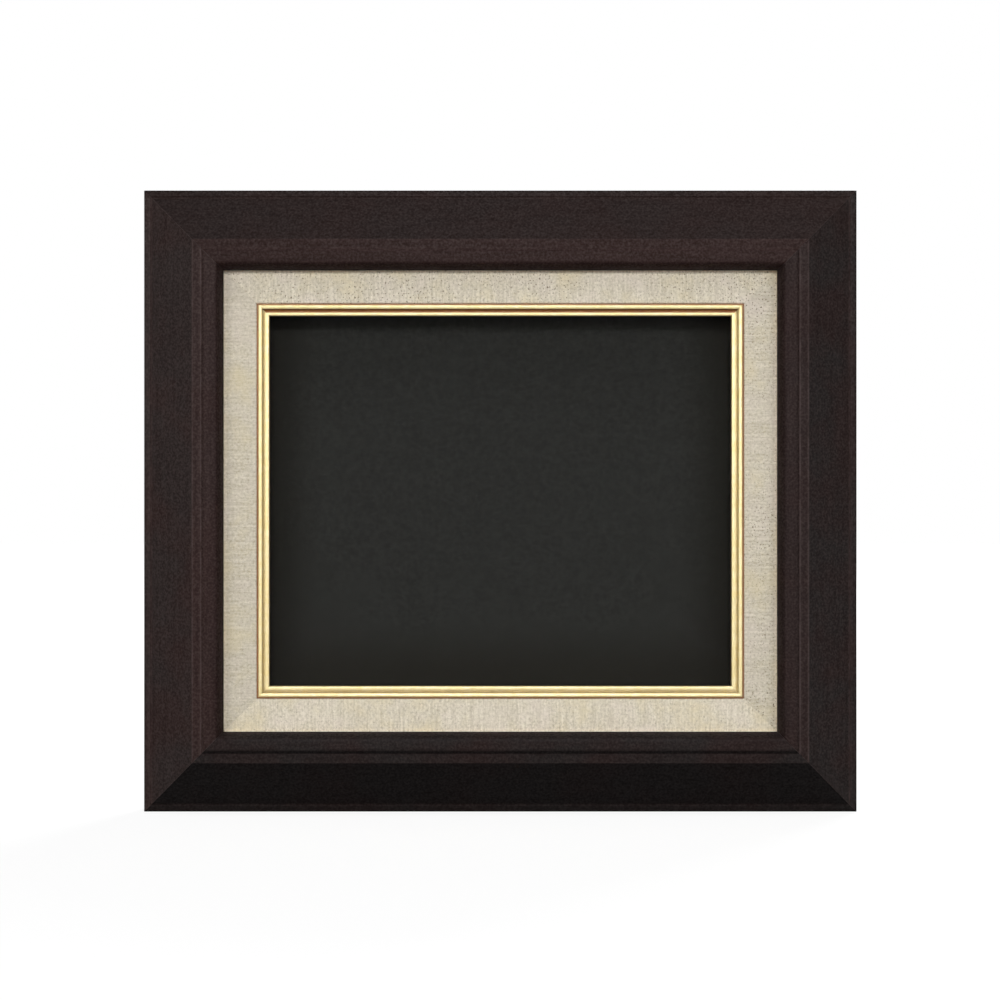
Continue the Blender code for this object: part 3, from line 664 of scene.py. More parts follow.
def brown_lacquer():
    """Dark brown stained wood under a thin satin lacquer, faintly stippled, its grain along the rail."""
    nodes = Nodes(bpy.data.materials.new("brown_lacquered_wood"))
    flat, space = nodes.flat(), nodes.space()
    streaks = nodes.spread(nodes.noise(flat, (24, 330, 1), 4, 0.55, 0.4), 0.30, 0.70)
    pores = nodes.noise(flat, (190, 2300, 1), 2, 0.6)
    mottle = nodes.noise(space, 26, 3, 0.55)
    stipple = nodes.noise(space, 760, 2, 0.6)
    brown = nodes.blend(streaks, linear(38, 25, 23), linear(47, 33, 31))
    grey = nodes.blend(streaks, linear(35, 30, 29), linear(42, 38, 37))
    faded = nodes.times(nodes.spread(mottle, 0.38, 0.58, 0.35, 1.0), nodes.carried("greyness"))
    colour = nodes.layered(
        nodes.blend(faded, brown, grey), (pores, 0.60, 0.72, 0.35, linear(17, 11, 10)),
        (stipple, 0.50, 0.36, 0.32, linear(20, 14, 13)), (stipple, 0.50, 0.66, 0.26, linear(66, 54, 52)))
    # Painted light and shade: the colour is made lighter or darker by the factor each piece carries
    colour = nodes.scaled(colour, nodes.carried("stain_and_painted_light"))
    # Painted edge highlights, with rubbed lacquer at the mitres, paler where each piece carries them
    rubbed = nodes.spread(nodes.noise(space, 160, 4, 0.6), 0.35, 0.65, 0.12, 0.40)
    colour = nodes.blend(nodes.times(nodes.carried("edge_highlight"), rubbed), colour, linear(98, 84, 82))
    height = nodes.sums("SUBTRACT", nodes.times(stipple, 0.8), nodes.spread(pores, 0.56, 0.70))
    return nodes.surface(
        Base_Color=colour, Roughness=nodes.spread(stipple, 0.3, 0.7, 0.50, 0.40),
        Normal=nodes.relief(height, 0.00003, 0.8),
        Specular_IOR_Level=nodes.spread(stipple, 0.35, 0.65, 0.022, 0.058))


def bare_wood(name, pale, dark, figure):
    """Bare softwood with soft bands and fine fibres along the rail."""
    nodes = Nodes(bpy.data.materials.new(name))
    flat = nodes.flat()
    bands = nodes.noise(flat, (7, 190 * figure, 1), 3, 0.5, 0.8)
    fibres = nodes.noise(flat, (60, 1900, 1), 4, 0.65)
    rays = nodes.noise(flat, (26, 820, 1), 2, 0.5)
    stains = nodes.noise(nodes.space(), 30, 3, 0.5)
    colour = nodes.layered(
        pale, (bands, 0.35, 0.65, 1.0, dark), (fibres, 0.55, 0.75, 0.55, dimmed(dark, 0.55)),
        (rays, 0.56, 0.66, 0.45, dimmed(dark, 0.7)), (stains, 0.5, 0.8, 0.35, dimmed(pale, 0.8)))
    height = nodes.sums("SUBTRACT", bands, nodes.spread(fibres, 0.5, 0.75))
    return nodes.surface(
        Base_Color=colour, Roughness=nodes.spread(fibres, 0.3, 0.7, 0.66, 0.85),
        Normal=nodes.relief(height, 0.00008, 0.9), Specular_IOR_Level=0.3)


def slubbed_linen():
    """Natural linen in a plain weave: thick uneven threads across the rail and thinner ones along it."""
    nodes = Nodes(bpy.data.materials.new("slubbed_linen"))
    flat, space = nodes.flat(), nodes.space()
    wander = nodes.sums("SUBTRACT", nodes.noise(flat, (300, 300, 1), 2, 0.5), 0.5)
    offset = nodes.times(wander, 0.0008)
    split = nodes.add("SeparateXYZ", {"Vector": flat}).outputs
    weft, warp = (
        nodes.sums("SINE", nodes.times(nodes.sums("ADD", split[axis], offset), 2 * math.pi / pitch))
        for axis, pitch in (("X", WEFT_PITCH), ("Y", WARP_PITCH)))
    weave = nodes.times(weft, warp)
    slubs = nodes.noise(flat, (800, 60, 1), 2, 0.6)
    threads = nodes.noise(flat, (260, 1500, 1), 2, 0.6)
    knots = nodes.noise(flat, (800, 580, 1), 2, 0.65)
    clouds = nodes.noise(space, 48, 4, 0.6)
    flecks = nodes.spread(nodes.noise(flat, (900, 820, 1), 1, 0.5), 0.62, 0.70)
    rare = nodes.spread(nodes.noise(space, 26, 2, 0.5), 0.35, 0.60, 0.2, 1)
    colour = nodes.layered(
        linear(189, 180, 161), (slubs, 0.30, 0.72, 1.0, linear(219, 211, 194)),
        (knots, 0.50, 0.24, 0.70, linear(154, 143, 122)), (knots, 0.52, 0.74, 0.5, linear(234, 227, 211)),
        (threads, 0.45, 0.75, 0.30, linear(172, 161, 139)), (weave, 1, -1, 0.14, linear(150, 138, 114)),
        (clouds, 0.50, 0.70, 0.55, linear(206, 193, 160)), (clouds, 0.50, 0.30, 0.45, linear(210, 198, 188)))
    dark = nodes.times(nodes.times(flecks, rare), nodes.carried("flecked"))
    # Painted light: each strip is made lighter or darker by the factor it carries
    colour = nodes.scaled(nodes.blend(dark, colour, linear(108, 94, 76)), nodes.carried("strip_painted_light"))
    # Painted shade under the lip, in patches
    lip_shade_patches = nodes.times(nodes.carried("painted_lip_shade"), nodes.spread(knots, 0.35, 0.6, 1.5, 0.5))
    height = nodes.sums("ADD", nodes.times(weave, 0.35), nodes.times(knots, 1.6))
    return nodes.surface(
        Base_Color=nodes.blend(lip_shade_patches, colour, linear(150, 136, 98)),
        Roughness=nodes.spread(slubs, 0.3, 0.7, 0.95, 0.82), Normal=nodes.relief(height, 0.00010, 0.7),
        Specular_IOR_Level=0.2, Sheen_Weight=0.06, Sheen_Roughness=0.5)


def gilt():
    """Pale gold paint with metal in it, wiped with a brown wash that stays in the hollows; in the top
    fillet's cove the wash is mostly painted shade.
    """
    nodes = Nodes(bpy.data.materials.new("gilt_with_brown_wash"))
    streaks = nodes.noise(nodes.flat(), (40, 3000, 1), 3, 0.5)
    rubbed = nodes.noise(nodes.space(), 220, 4, 0.65)
    wash_and_shade = nodes.times(nodes.carried("wash_and_shade"), nodes.spread(rubbed, 0.25, 0.7, 1.0, 0.88))
    gold = nodes.blend(nodes.spread(rubbed, 0.35, 0.7), linear(204, 190, 147), linear(197, 178, 124))
    return nodes.surface(
        Base_Color=nodes.blend(wash_and_shade, gold, linear(116, 60, 12)),
        Metallic=nodes.spread(wash_and_shade, 0, 1, 0.45, 0.0), Roughness=nodes.spread(streaks, 0.3, 0.7, 0.36, 0.46),
        Specular_IOR_Level=0.25, Normal=nodes.relief(streaks, 0.00001, 0.5))


def clear_acrylic():
    """The pane: clear acrylic that lamps and the light between pieces pass straight through."""
    nodes = Nodes(bpy.data.materials.new("clear_acrylic"))
    smears = nodes.noise(nodes.space(), 9, 2, 0.4)
    material = nodes.surface(Base_Color=(1, 1, 1, 1), Roughness=0.0, IOR=PANE_INDEX, Transmission_Weight=1.0,
                             Normal=nodes.relief(smears, 0.00002, 0.2))
    path = nodes.add("LightPath").outputs
    straight = nodes.sums("MAXIMUM", path["Is Shadow Ray"], path["Is Diffuse Ray"])
    clear, output = (nodes.tree.nodes[label] for label in ("Principled BSDF", "Material Output"))
    through = nodes.add("BsdfTransparent")
    mixed = nodes.add("MixShader", {0: straight, 1: clear.outputs[0], 2: through.outputs[0]})
    nodes.put(output.inputs["Surface"], mixed.outputs[0])
    return material


def charcoal_card():
    """Matte charcoal card with a faint fibre, and painted shade towards its sides and its foot.

    The painted shade goes by the greater of two shares: how far a place is to the side of the card's middle,
    and how far below it.
    """
    nodes = Nodes(bpy.data.materials.new("charcoal_card"))
    space = nodes.space()
    fibre = nodes.noise(space, 560, 3, 0.6)
    cloud = nodes.noise(space, 24, 4, 0.55)
    place = nodes.add("SeparateXYZ", {"Vector": space}).outputs
    aside = nodes.sums("ABSOLUTE", nodes.sums("DIVIDE", place["X"], CARD_HALF_WIDTH))
    below = nodes.sums("DIVIDE", nodes.sums("SUBTRACT", CARD_MIDDLE, place["Z"]), CARD_HALF_HEIGHT)
    # Painted shade at the card's border, where the recess keeps the light off
    colour = nodes.layered(
        linear(33, 33, 31), (fibre, 0.35, 0.7, 1.0, linear(43, 43, 41)),
        (cloud, 0.4, 0.7, 0.25, linear(37, 38, 36)),
        (nodes.sums("MAXIMUM", aside, below), 0.78, 1.0, 0.75, linear(28, 27, 23)))
    return nodes.surface(
        Base_Color=colour, Roughness=nodes.spread(cloud, 0.3, 0.7, 0.95, 0.88),
        Normal=nodes.relief(fibre, 0.00004, 0.5), Specular_IOR_Level=0.08)


def fibreboard():
    """Thin brown fibreboard, smooth face outwards, flecked with wood fibres."""
    nodes = Nodes(bpy.data.materials.new("brown_fibreboard"))
    space = nodes.space()
    fibre = nodes.noise(space, (700, 700, 1500), 4, 0.7)
    strand = nodes.noise(space, (240, 240, 900), 3, 0.6, turn=0.6)
    cloud = nodes.noise(space, 14, 4, 0.55)
    colour = nodes.layered(
        linear(122, 88, 58), (fibre, 0.3, 0.7, 1.0, linear(158, 120, 84)),
        (strand, 0.6, 0.75, 0.6, linear(88, 60, 38)), (cloud, 0.4, 0.75, 0.4, linear(132, 98, 66)))
    return nodes.surface(
        Base_Color=colour, Roughness=nodes.spread(fibre, 0.3, 0.7, 0.6, 0.75),
        Normal=nodes.relief(fibre, 0.00004, 0.6), Specular_IOR_Level=0.3)


def zinc_plate():
    """Zinc-plated steel, faintly blotched and brushed by tumbling."""
    nodes = Nodes(bpy.data.materials.new("zinc_plated_steel"))
    space = nodes.space()
    blotch = nodes.noise(space, 520, 4, 0.6)
    scuffs = nodes.noise(space, (900, 900, 5200), 3, 0.6)
    colour = nodes.layered(
        linear(152, 155, 157), (blotch, 0.3, 0.7, 1.0, linear(185, 182, 172)),
        (scuffs, 0.6, 0.8, 0.4, linear(112, 112, 111)))
    return nodes.surface(
        Base_Color=colour, Metallic=1.0, Roughness=nodes.spread(blotch, 0.3, 0.7, 0.28, 0.40),
        Normal=nodes.relief(scuffs, 0.00002, 0.5))


# ---- the frame's pieces


def v_nail_grid(play, back, front, taper=0.0):
    """A bent nail: two thin legs at a right angle, carried along Y and thinned at its driven edge."""
    leg, web = NAIL_LEG + play, NAIL_THICKNESS / 2 + play
    outline = np.array([(-web, -web), (leg, -web), (leg, web), (web, web), (web, leg), (-web, leg)])
    outline = divided(np.concatenate([outline, outline[:1]]), 0.001)[:-1]
    pulled = outline - outward_normals(outline) * taper
    steps = [(back, outline), (front + 3 * taper, outline), (front, pulled)] if taper else [
        (back, outline), (front, outline)]
    return np.stack([np.column_stack([o[:, 0], 0 * o[:, 0] - h, o[:, 1]]) for h, o in steps])


def corner_nail_places():
    """Each corner's two nails on its mitre: how far each is turned, and where it stands."""
    found = []
    for turn in range(4):
        x_side, z_side = (1 if turn in (0, 1) else -1), (1 if turn in (0, 3) else -1)
        for inset in NAIL_INSETS:
            spot = (x_side * (OUTER_WIDTH / 2 - inset), 0.0, z_side * (OUTER_HEIGHT / 2 - inset))
            found.append((180 + 90 * turn, spot))
    return found


def riser_screw_places(side):
    """Where a riser rail is screwed on, along the rail."""
    end = side_length(side) / 2 - RISER_SCREW_END
    return (-end, end)


def button_places(side):
    """Where the turn buttons pivot, along the rail."""
    return (-BUTTON_SPREAD, BUTTON_SPREAD) if side in ("top", "bottom") else (0.0,)


def strap_screw_places(side):
    """Where a side rail's hanger is screwed on, along the rail."""
    upward = {"left": 1, "right": -1}.get(side)
    return tuple(upward * (HANGER_RAISE - drop) for drop in STRAP_SCREW_DROPS) if upward else ()


def numbered(places):
    """Every place on every rail, rail by rail, counted from 1."""
    return enumerate(((side, place) for side in SIDES for place in places(side)), 1)


def make_mouldings(lacquer, bare):
    """Four mouldings, slotted at the back for the corner nails and bored for the riser's screws.

    Each point carries its painted edge highlight, its painted light and shade, and how grey it has gone.
    The painted highlight follows the ridge, the cove's foot, the band's edge and the lip, and the mitres,
    where the lacquer is also rubbed through. The painted light is the outer band's, the slope's or the inner
    flats', with painted shade in the cove, over the shoulder, and at the outer edge and the lip.
    """
    loop, raw = moulding_section()
    inset, height = loop.T
    on_face = height > FACE_FOOT
    edges = ((0.8, RIDGE_CORNER_INSET + 0.0001), (1.0, RISE_FOOT_INSET - 0.0005), (0.4, OUTER_BAND_WIDTH))
    # Painted highlights along the ridge, the cove's foot and the band's edge
    edge_highlight = np.max([share * near(inset, edge, HIGHLIGHT_REACH) for share, edge in edges], axis=0) * on_face
    # A painted highlight along the lip's edge
    rim = 0.5 * near(inset, LIP_EDGE_INSET, 0.0003) * (height > LIP_TOP)
    in_band = ramp(OUTER_BAND_WIDTH - inset, 0.0003) * on_face
    slope = ramp(np.minimum(inset - OUTER_BAND_WIDTH, RIDGE_CORNER_INSET - inset), 0.0004)
    on_thumb = ramp(inset - THUMB_INSET, 0.0006)
    in_cove = near(inset, COVE_INSET, 0.0014)
    # Painted shade at the outer rounding and the lip's edge, and over the shoulder down to the lip
    in_corner = np.maximum((0.0009 - inset) / 0.0005, (inset - LIP_EDGE_INSET - 0.0002) / 0.0003)
    painted_shade = 1 - 0.16 * ramp(inset - SHOULDER_INSET, 0.0035)
    painted_shade = painted_shade * (1 - 0.7 * ramp(in_corner, 1) * on_face)
    for number, side in enumerate(SIDES):
        length = side_length(side)
        grid = rail_grid(loop, length, MITRE_EASE)
        # Painted light and shade by side: each rail's band, slope and flats, its cove shaded and its thumb
        # lit
        flats = FLAT_PAINTED_LIGHT[side] * (1 + (THUMB_PAINTED_LIGHT[side] - 1) * on_thumb)
        flats = flats * (1 - (1 - COVE_PAINTED_SHADE[side]) * in_cove)
        inner = flats + (SLOPE_PAINTED_LIGHT[side] - flats) * slope
        stain_and_painted_light = (inner + (BAND_PAINTED_LIGHT[side] - inner) * in_band) * painted_shade
        stain_and_painted_light = stain_and_painted_light * (1 + STAIN_DRIFT[side] * grid[..., 0] * 2 / length)
        grey = FLAT_GREYNESS[side]
        greyness = grey + (SLOPE_GREYNESS[side] - grey) * np.maximum(slope, in_band)
        # Painted edge highlights; at the mitres they also stand for lacquer rubbed through
        highlight_and_wear = np.repeat(np.maximum(EDGE_HIGHLIGHT[side] * edge_highlight, rim)[None], len(grid), axis=0)
        highlight_and_wear[[0, 1, -2, -1]] = np.maximum(highlight_and_wear[[0, 1, -2, -1]], MITRE_HIGHLIGHT_AND_WEAR * (inset > 0.001))
        mesh = settle(grid_mesh(
            "moulding", grid, maps=rail_maps(grid, loop, 0.53 * number),
            point_values={"edge_highlight": highlight_and_wear, "stain_and_painted_light": stain_and_painted_light, "greyness": greyness}, zones=raw))
        cutters = []
        for end, turn in ((1, 180), (-1, 90)):
            for nail_inset in NAIL_INSETS:
                slot = v_nail_grid(SEAT_GAP, MOULDING_BACK - 0.001, MOULDING_BACK + NAIL_HEIGHT + SEAT_GAP)
                spot = (end * (length / 2 - nail_inset), 0, -nail_inset)
                cutters.append(settle(grid_mesh("slot", turn_about_y(slot, turn) + spot)))
        cutters += [bore(RISER_THICKNESS, RISER_SCREW_LENGTH + 0.0005, place, -RISER_SCREW_INSET)
                    for place in riser_screw_places(side)]
        mesh = placed(bored(mesh, cutters, (lacquer, bare)), lambda points: on_side(points, side))
        add_piece(f"{side}_moulding", mesh, lacquer, "moulding_" + side)


def make_cores(bare):
    """The four wooden cores of the liner."""
    loop = core_section()
    for number, side in enumerate(SIDES):
        grid = rail_grid(loop, side_length(side), MITRE_EASE, 9)
        mesh = grid_mesh("core", on_side(grid, side), maps=rail_maps(grid, loop, 0.31 + 0.47 * number))
        add_piece(f"{side}_liner_core", settle(mesh), bare, "liner_core_" + side)


def slub_heights(lengthwise, crosswise, seed, length):
    """How far thick places in the threads stand up.

    Each slub is a low ridge across the rail: a bell curve of its distance along the rail, times one of
    its distance across that falls off by the fourth power, so that the ridge has a flat back.
    """
    draw = np.random.default_rng(seed)
    count = int(length / SLUB_SPACING)
    centres = draw.uniform(-length / 2, length / 2, count)
    middles = draw.uniform(0, crosswise.max(), count)
    half_widths = draw.uniform(0.00030, 0.00062, count)
    half_lengths = draw.uniform(0.0012, 0.0050, count)
    rises = draw.uniform(0.00002, 0.00008, count)
    height = np.zeros(lengthwise.shape)
    low, high = lengthwise.min(axis=1) - 0.002, lengthwise.max(axis=1) + 0.002
    for centre, middle, wide, long, rise in zip(centres, middles, half_widths, half_lengths, rises):
        beside = (low < centre) & (centre < high)
        sideways = ((lengthwise[beside] - centre) / wide) ** 2
        lengthways = ((crosswise[beside] - middle) / long) ** 4
        height[beside] += rise * np.exp(-sideways - lengthways)
    return height


def make_linen(linen):
    """Four strips of linen, stretched over the cores and down both of their sides.

    The outer face carries the relief of the thick threads, calmed to nothing at its two hems, and the
    inner face lies against the core.
    """
    outer, inner = linen_lines()
    outer = divided(outer, 0.0009)
    loop = np.concatenate([outer, divided(inner, 0.006)[::-1]])
    facing, spread_out = len(outer), along(outer)
    inset, normals = loop[:, 0], outward_normals(loop)[:facing]
    calm = ramp(np.minimum(spread_out, spread_out[-1] - spread_out), 0.002)
    for number, side in enumerate(SIDES):
        length = side_length(side)
        cut_length = length - 2 * LINEN_OUTER_INSET
        grid = rail_grid(loop, length, 0.00006, int(cut_length / LINEN_STATION))
        flat = rail_maps(grid, loop, 0.41 * number)
        lengthwise = grid[:, :facing, 0]
        rise = calm * slub_heights(lengthwise, np.broadcast_to(spread_out, lengthwise.shape), 7 + number,
                                   cut_length)
        grid[:, :facing, 1] -= rise * normals[:, 1]
        grid[:, :facing, 2] -= rise * normals[:, 0]
        # Painted light on each strip, and a painted highlight along its edge by the lip
        linen_edge_highlight = 1 + LINEN_EDGE_HIGHLIGHT[side] * ramp(PALE_EDGE_END - inset, 0.0014)
        # Painted shade where the lip covers the linen
        values = {"painted_lip_shade": LIP_SHADE[side] * ramp(LIP_SHADE_END - inset, 0.0040) ** 1.5,
                  "strip_painted_light": STRIP_PAINTED_LIGHT[side] * linen_edge_highlight, "flecked": LINEN_FLECKS[side]}
        mesh = settle(grid_mesh("linen", on_side(grid, side), maps=flat, point_values=values))
        piece = add_piece(f"{side}_linen", mesh, linen, "liner_linen_" + side)


def make_fillets(gold):
    """Four gilt fillets at the sight edge."""
    loop, shoulder_tone, cove_tone = fillet_section()
    for number, side in enumerate(SIDES):
        grid = rail_grid(loop, side_length(side), 0.00005)
        # The cove's wash is strongest on the top fillet, as painted shade under the tall bead
        mesh = grid_mesh("fillet", on_side(grid, side), maps=rail_maps(grid, loop, 0.29 * number),
                         point_values={"wash_and_shade": np.maximum(shoulder_tone, cove_tone * COVE_WASH_AND_SHADE[side])})
        add_piece(f"{side}_fillet", settle(mesh), gold, "gilt_fillet_" + side)


def make_risers(bare):
    """Four riser rails, countersunk for their own screws and bored for the short ones."""
    loop = riser_section()
    head, play = SCREW_HEAD_RADIUS, SEAT_GAP
    cone = [(0, 0.002), (head + play, 0.002), (head + play, 0.0),
            (HOLE_RADIUS, -SCREW_HEAD_HEIGHT - play), (HOLE_RADIUS, -0.009), (0, -0.009)]
    for number, side in enumerate(SIDES):
        grid = rail_grid(loop, side_length(side), MITRE_EASE)
        mesh = settle(grid_mesh("riser", grid, maps=rail_maps(grid, loop, 0.17 + 0.61 * number)))
        cutters = [round_cutter(cone, place, -RISER_SCREW_INSET) for place in riser_screw_places(side)]
        for places, inset in ((button_places, PIVOT_INSET), (strap_screw_places, HANGER_INSET)):
            cutters += [bore(-0.001, SHORT_SCREW_BITE + 0.0004, place, -inset) for place in places(side)]
        mesh = placed(bored(mesh, cutters, (bare,)), lambda points: on_side(points, side))
        add_piece(f"{side}_riser", mesh, bare, "riser_" + side)


def panel_mesh(inset, back, front, ease, corner):
    """A flat panel with rounded corners: its outline carried through its thickness, edges eased.

    Each ring is the outline drawn in by the ease times one less the cosine of an angle, at a height
    that runs over the same quarter turn at each face. One more ring on each face keeps it flat.
    """
    x, z = OUTER_WIDTH / 2 - inset, OUTER_HEIGHT / 2 - inset
    corners = [(0, -z), (x, -z), (x, z), (-x, z), (-x, -z), (0, -z)]
    outline = divided(eased(corners, (0, corner, corner, corner, corner), 6), 0.02)[:-1]
    normals = outward_normals(outline)
    quarter = np.radians(np.linspace(0, 90, 4))
    drawn_in = ease * np.concatenate([[1.6], 1 - np.sin(quarter), 1 - np.cos(quarter), [1.6]])
    height = np.concatenate([[back], back + ease * (1 - np.cos(quarter)),
                             front - ease * (1 - np.sin(quarter)), [front]])
    rings = outline[None] - normals[None] * drawn_in[:, None, None]
    return settle(grid_mesh("panel", np.stack([
        rings[..., 0], np.broadcast_to(-height[:, None], rings.shape[:2]), rings[..., 1]], axis=-1)))


def make_panels(acrylic, board, card):
    """The pane, the back board and the dark card on it."""
    pane = panel_mesh(PANE_INSET, PANE_BACK, PANE_FRONT, 0.00025, 0.0006)
    back = panel_mesh(BOARD_INSET, BOARD_BACK, BOARD_FRONT, 0.00035, 0.0012)
    facing = panel_mesh(FACING_INSET, BOARD_LEDGE, FACING_FRONT, 0.00015, 0.0010)
    add_piece("acrylic_pane", pane, acrylic, "clear_pane")
    add_piece("fibre_back", back, board, "back_board", "back_board")
    add_piece("dark_facing", facing, card, "board_facing", "back_board")


# ---- hardware


def cross_depth(x, z):
    """How deep a driver's cross is at a place on the head: full in its arms, with sloped walls."""
    arm, reach, wall, depth = 0.00038, 0.0017, 0.00022, 0.0010
    ahead = np.minimum((arm - np.abs(x)) / wall, (reach - np.abs(z)) / (2 * wall))
    across = np.minimum((arm - np.abs(z)) / wall, (reach - np.abs(x)) / (2 * wall))
    share = ramp(np.maximum(ahead, across) + 0.5, 1)
    return depth * share * share * (3 - 2 * share)


def screw_mesh(head, bite, thread_from):
    """A wood screw: a turned head with a cross sunk in it, then a shank with a helical thread.

    head lists the radius and height of each ring of the head, from the axis outwards and down to the
    shank. Below thread_from, the radius swings between root and crest with the turn and the depth, and
    runs down to nothing at the point.
    """
    pitch, sides = 0.0011, 40
    head = np.array(head, float)
    depths = np.arange(thread_from, bite, pitch / 7)
    share = ramp(bite - depths, SCREW_POINT)
    angle = np.arange(sides) / sides * 2 * math.pi
    phase = (depths[:, None] / pitch - angle / (2 * math.pi)) % 1
    start = ramp(depths - thread_from, 0.0005)[:, None]
    swing = 1 - 0.34 * start * (1 - ramp(1 - np.abs(phase - 0.5) * 4, 1))
    thread_radius = SCREW_SHANK_RADIUS * share[:, None] * swing
    radius = np.concatenate([np.repeat(head[:, :1], sides, axis=1), thread_radius, np.zeros((1, sides))])
    height = np.concatenate([head[:, 1], -depths, [-bite]])[:, None] + 0 * radius
    x, z = radius * np.cos(angle), radius * np.sin(angle)
    on_top = np.arange(len(height)) < int(np.argmax(head[:, 0] >= SCREW_HEAD_RADIUS - 1e-6)) + 1
    height = np.where(on_top[:, None], height - cross_depth(x, z), height)
    return np.stack([x, height, z], axis=-1)


def pan_head():
    """Rings of a pan head: a dome over a short upright rim, flat beneath."""
    spokes = np.linspace(0, 1, 26)
    radius = SCREW_HEAD_RADIUS * np.sin(spokes * math.pi / 2)
    dome = np.column_stack([radius, SCREW_HEAD_HEIGHT * np.cos(spokes * math.pi / 2) ** 0.8])
    under = [(SCREW_HEAD_RADIUS - 0.0002, 0.0), (SCREW_SHANK_RADIUS + 0.0002, 0.0),
             (SCREW_SHANK_RADIUS, -0.0002)]
    return np.concatenate([dome[:-1], [(SCREW_HEAD_RADIUS, 0.0002)], under])


def flat_head():
    """Rings of a countersunk head: a flat top with an eased rim, over a cone."""
    radius = np.linspace(0, SCREW_HEAD_RADIUS - 0.0001, 26)
    top = np.column_stack([radius, 0 * radius])
    return np.concatenate([top, [(SCREW_HEAD_RADIUS, -0.0001), (SCREW_SHANK_RADIUS, -SCREW_HEAD_HEIGHT)]])


def make_fasteners(steel):
    """Corner nails, the riser's screws, and the screws of the turn buttons and the hangers.

    Each screw's cross is turned to where the driver left it.
    """
    nail = v_nail_grid(0, MOULDING_BACK, MOULDING_BACK + NAIL_HEIGHT, 0.0002)
    for number, (turn, spot) in enumerate(corner_nail_places(), 1):
        mesh = settle(grid_mesh("nail", turn_about_y(nail, turn) + spot))
        add_piece(f"corner_v_nail_{number}", mesh, steel, f"corner_nail_{number}")
    twists = iter(np.random.default_rng(3).uniform(0, 90, 18))
    sunk = screw_mesh(flat_head(), RISER_SCREW_LENGTH, 0.0055)
    under_button, under_strap = 2 * SEAT_GAP + BUTTON_THICKNESS, 2 * SEAT_GAP + STRAP_THICKNESS
    button = screw_mesh(pan_head(), SHORT_SCREW_BITE + under_button, 0.0022)
    strap = screw_mesh(pan_head(), SHORT_SCREW_BITE + under_strap, 0.0020)
    for name, node, grid, places, inset, height in (
            ("sunk_screw", "riser_screw", sunk, riser_screw_places, RISER_SCREW_INSET, -SUNK_SCREW_DROP),
            ("button_screw", "turn_button_screw", button, button_places, PIVOT_INSET, under_button),
            ("strap_screw", "hanger_screw", strap, strap_screw_places, HANGER_INSET, under_strap)):
        for number, (side, place) in numbered(places):
            standing = turn_about_y(grid, next(twists)) + (place, height, -inset)
            mesh = settle(grid_mesh(name, on_side(standing, side)), 2e-6)
            add_piece(f"{name}_{number}", mesh, steel, f"{node}_{number}")


def turn_button_grid():
    """A stamped plate with a hole: its outline and the hole's circle joined by rings.

    The outline goes round two circles, a wide one at the pivot and a narrow one at the tip. The tip is
    bent up, by its distance past the fold.
    """
    lean = math.degrees(math.asin((BUTTON_HEAD_RADIUS - BUTTON_TIP_RADIUS) / BUTTON_REACH))
    head = arc((0, 0), (BUTTON_HEAD_RADIUS, BUTTON_HEAD_RADIUS), 90 - lean, 270 + lean, 60)
    tip = arc((BUTTON_REACH, 0), (BUTTON_TIP_RADIUS, BUTTON_TIP_RADIUS), -90 + lean, 90 - lean, 40)
    outline = evenly(np.concatenate([head, tip, head[:1]]), 120)
    normals = outward_normals(outline)
    bearing = np.arctan2(outline[:, 1], outline[:, 0])
    hole = np.column_stack([np.cos(bearing), np.sin(bearing)])
    edge, top = 0.0003, BUTTON_THICKNESS
    rim = [(outline - normals * drawn_in, height) for drawn_in, height in (
        (edge, 0), (0.08 * edge, 0.35 * edge), (0, edge), (0, top - edge),
        (0.29 * edge, top - 0.29 * edge), (edge, top))]
    flats = [outline * (1 - share) + hole * (HOLE_RADIUS + 0.0003) * share for share in (0.2, 0.4, 0.6, 0.8)]
    wall = [(hole * radius, height) for radius, height in (
        (HOLE_RADIUS + 0.0002, top), (HOLE_RADIUS, top - 0.0002), (HOLE_RADIUS, 0.0001),
        (HOLE_RADIUS + 0.0001, 0))]
    rings = [*rim, *((flat, top) for flat in flats), *wall, *((flat, 0) for flat in flats[::-1])]
    points = [np.column_stack([line, np.full(120, height)]) for line, height in rings]
    x, z, y = np.moveaxis(np.stack(points), -1, 0)
    fold = BUTTON_REACH - BUTTON_TIP_RADIUS / 2
    beyond = BUTTON_REACH + BUTTON_TIP_RADIUS - fold
    past = x - fold
    eased_past = (past + np.sqrt(past**2 + 0.0006**2)) / 2
    return np.stack([x, y + BUTTON_LIFT * eased_past / beyond * (past > -0.003), z], axis=-1)


def make_turn_buttons(steel):
    """Six turn buttons, lying along their rails."""
    grid = turn_button_grid()
    for number, (side, place) in numbered(button_places):
        put = on_side(grid + (place, SEAT_GAP, -PIVOT_INSET), side)
        mesh = settle(grid_mesh("turn_button", put, wrap_rings=True))
        add_piece(f"turn_button_plate_{number}", mesh, steel, f"turn_button_{number}",
                  f"turn_button_{number}")


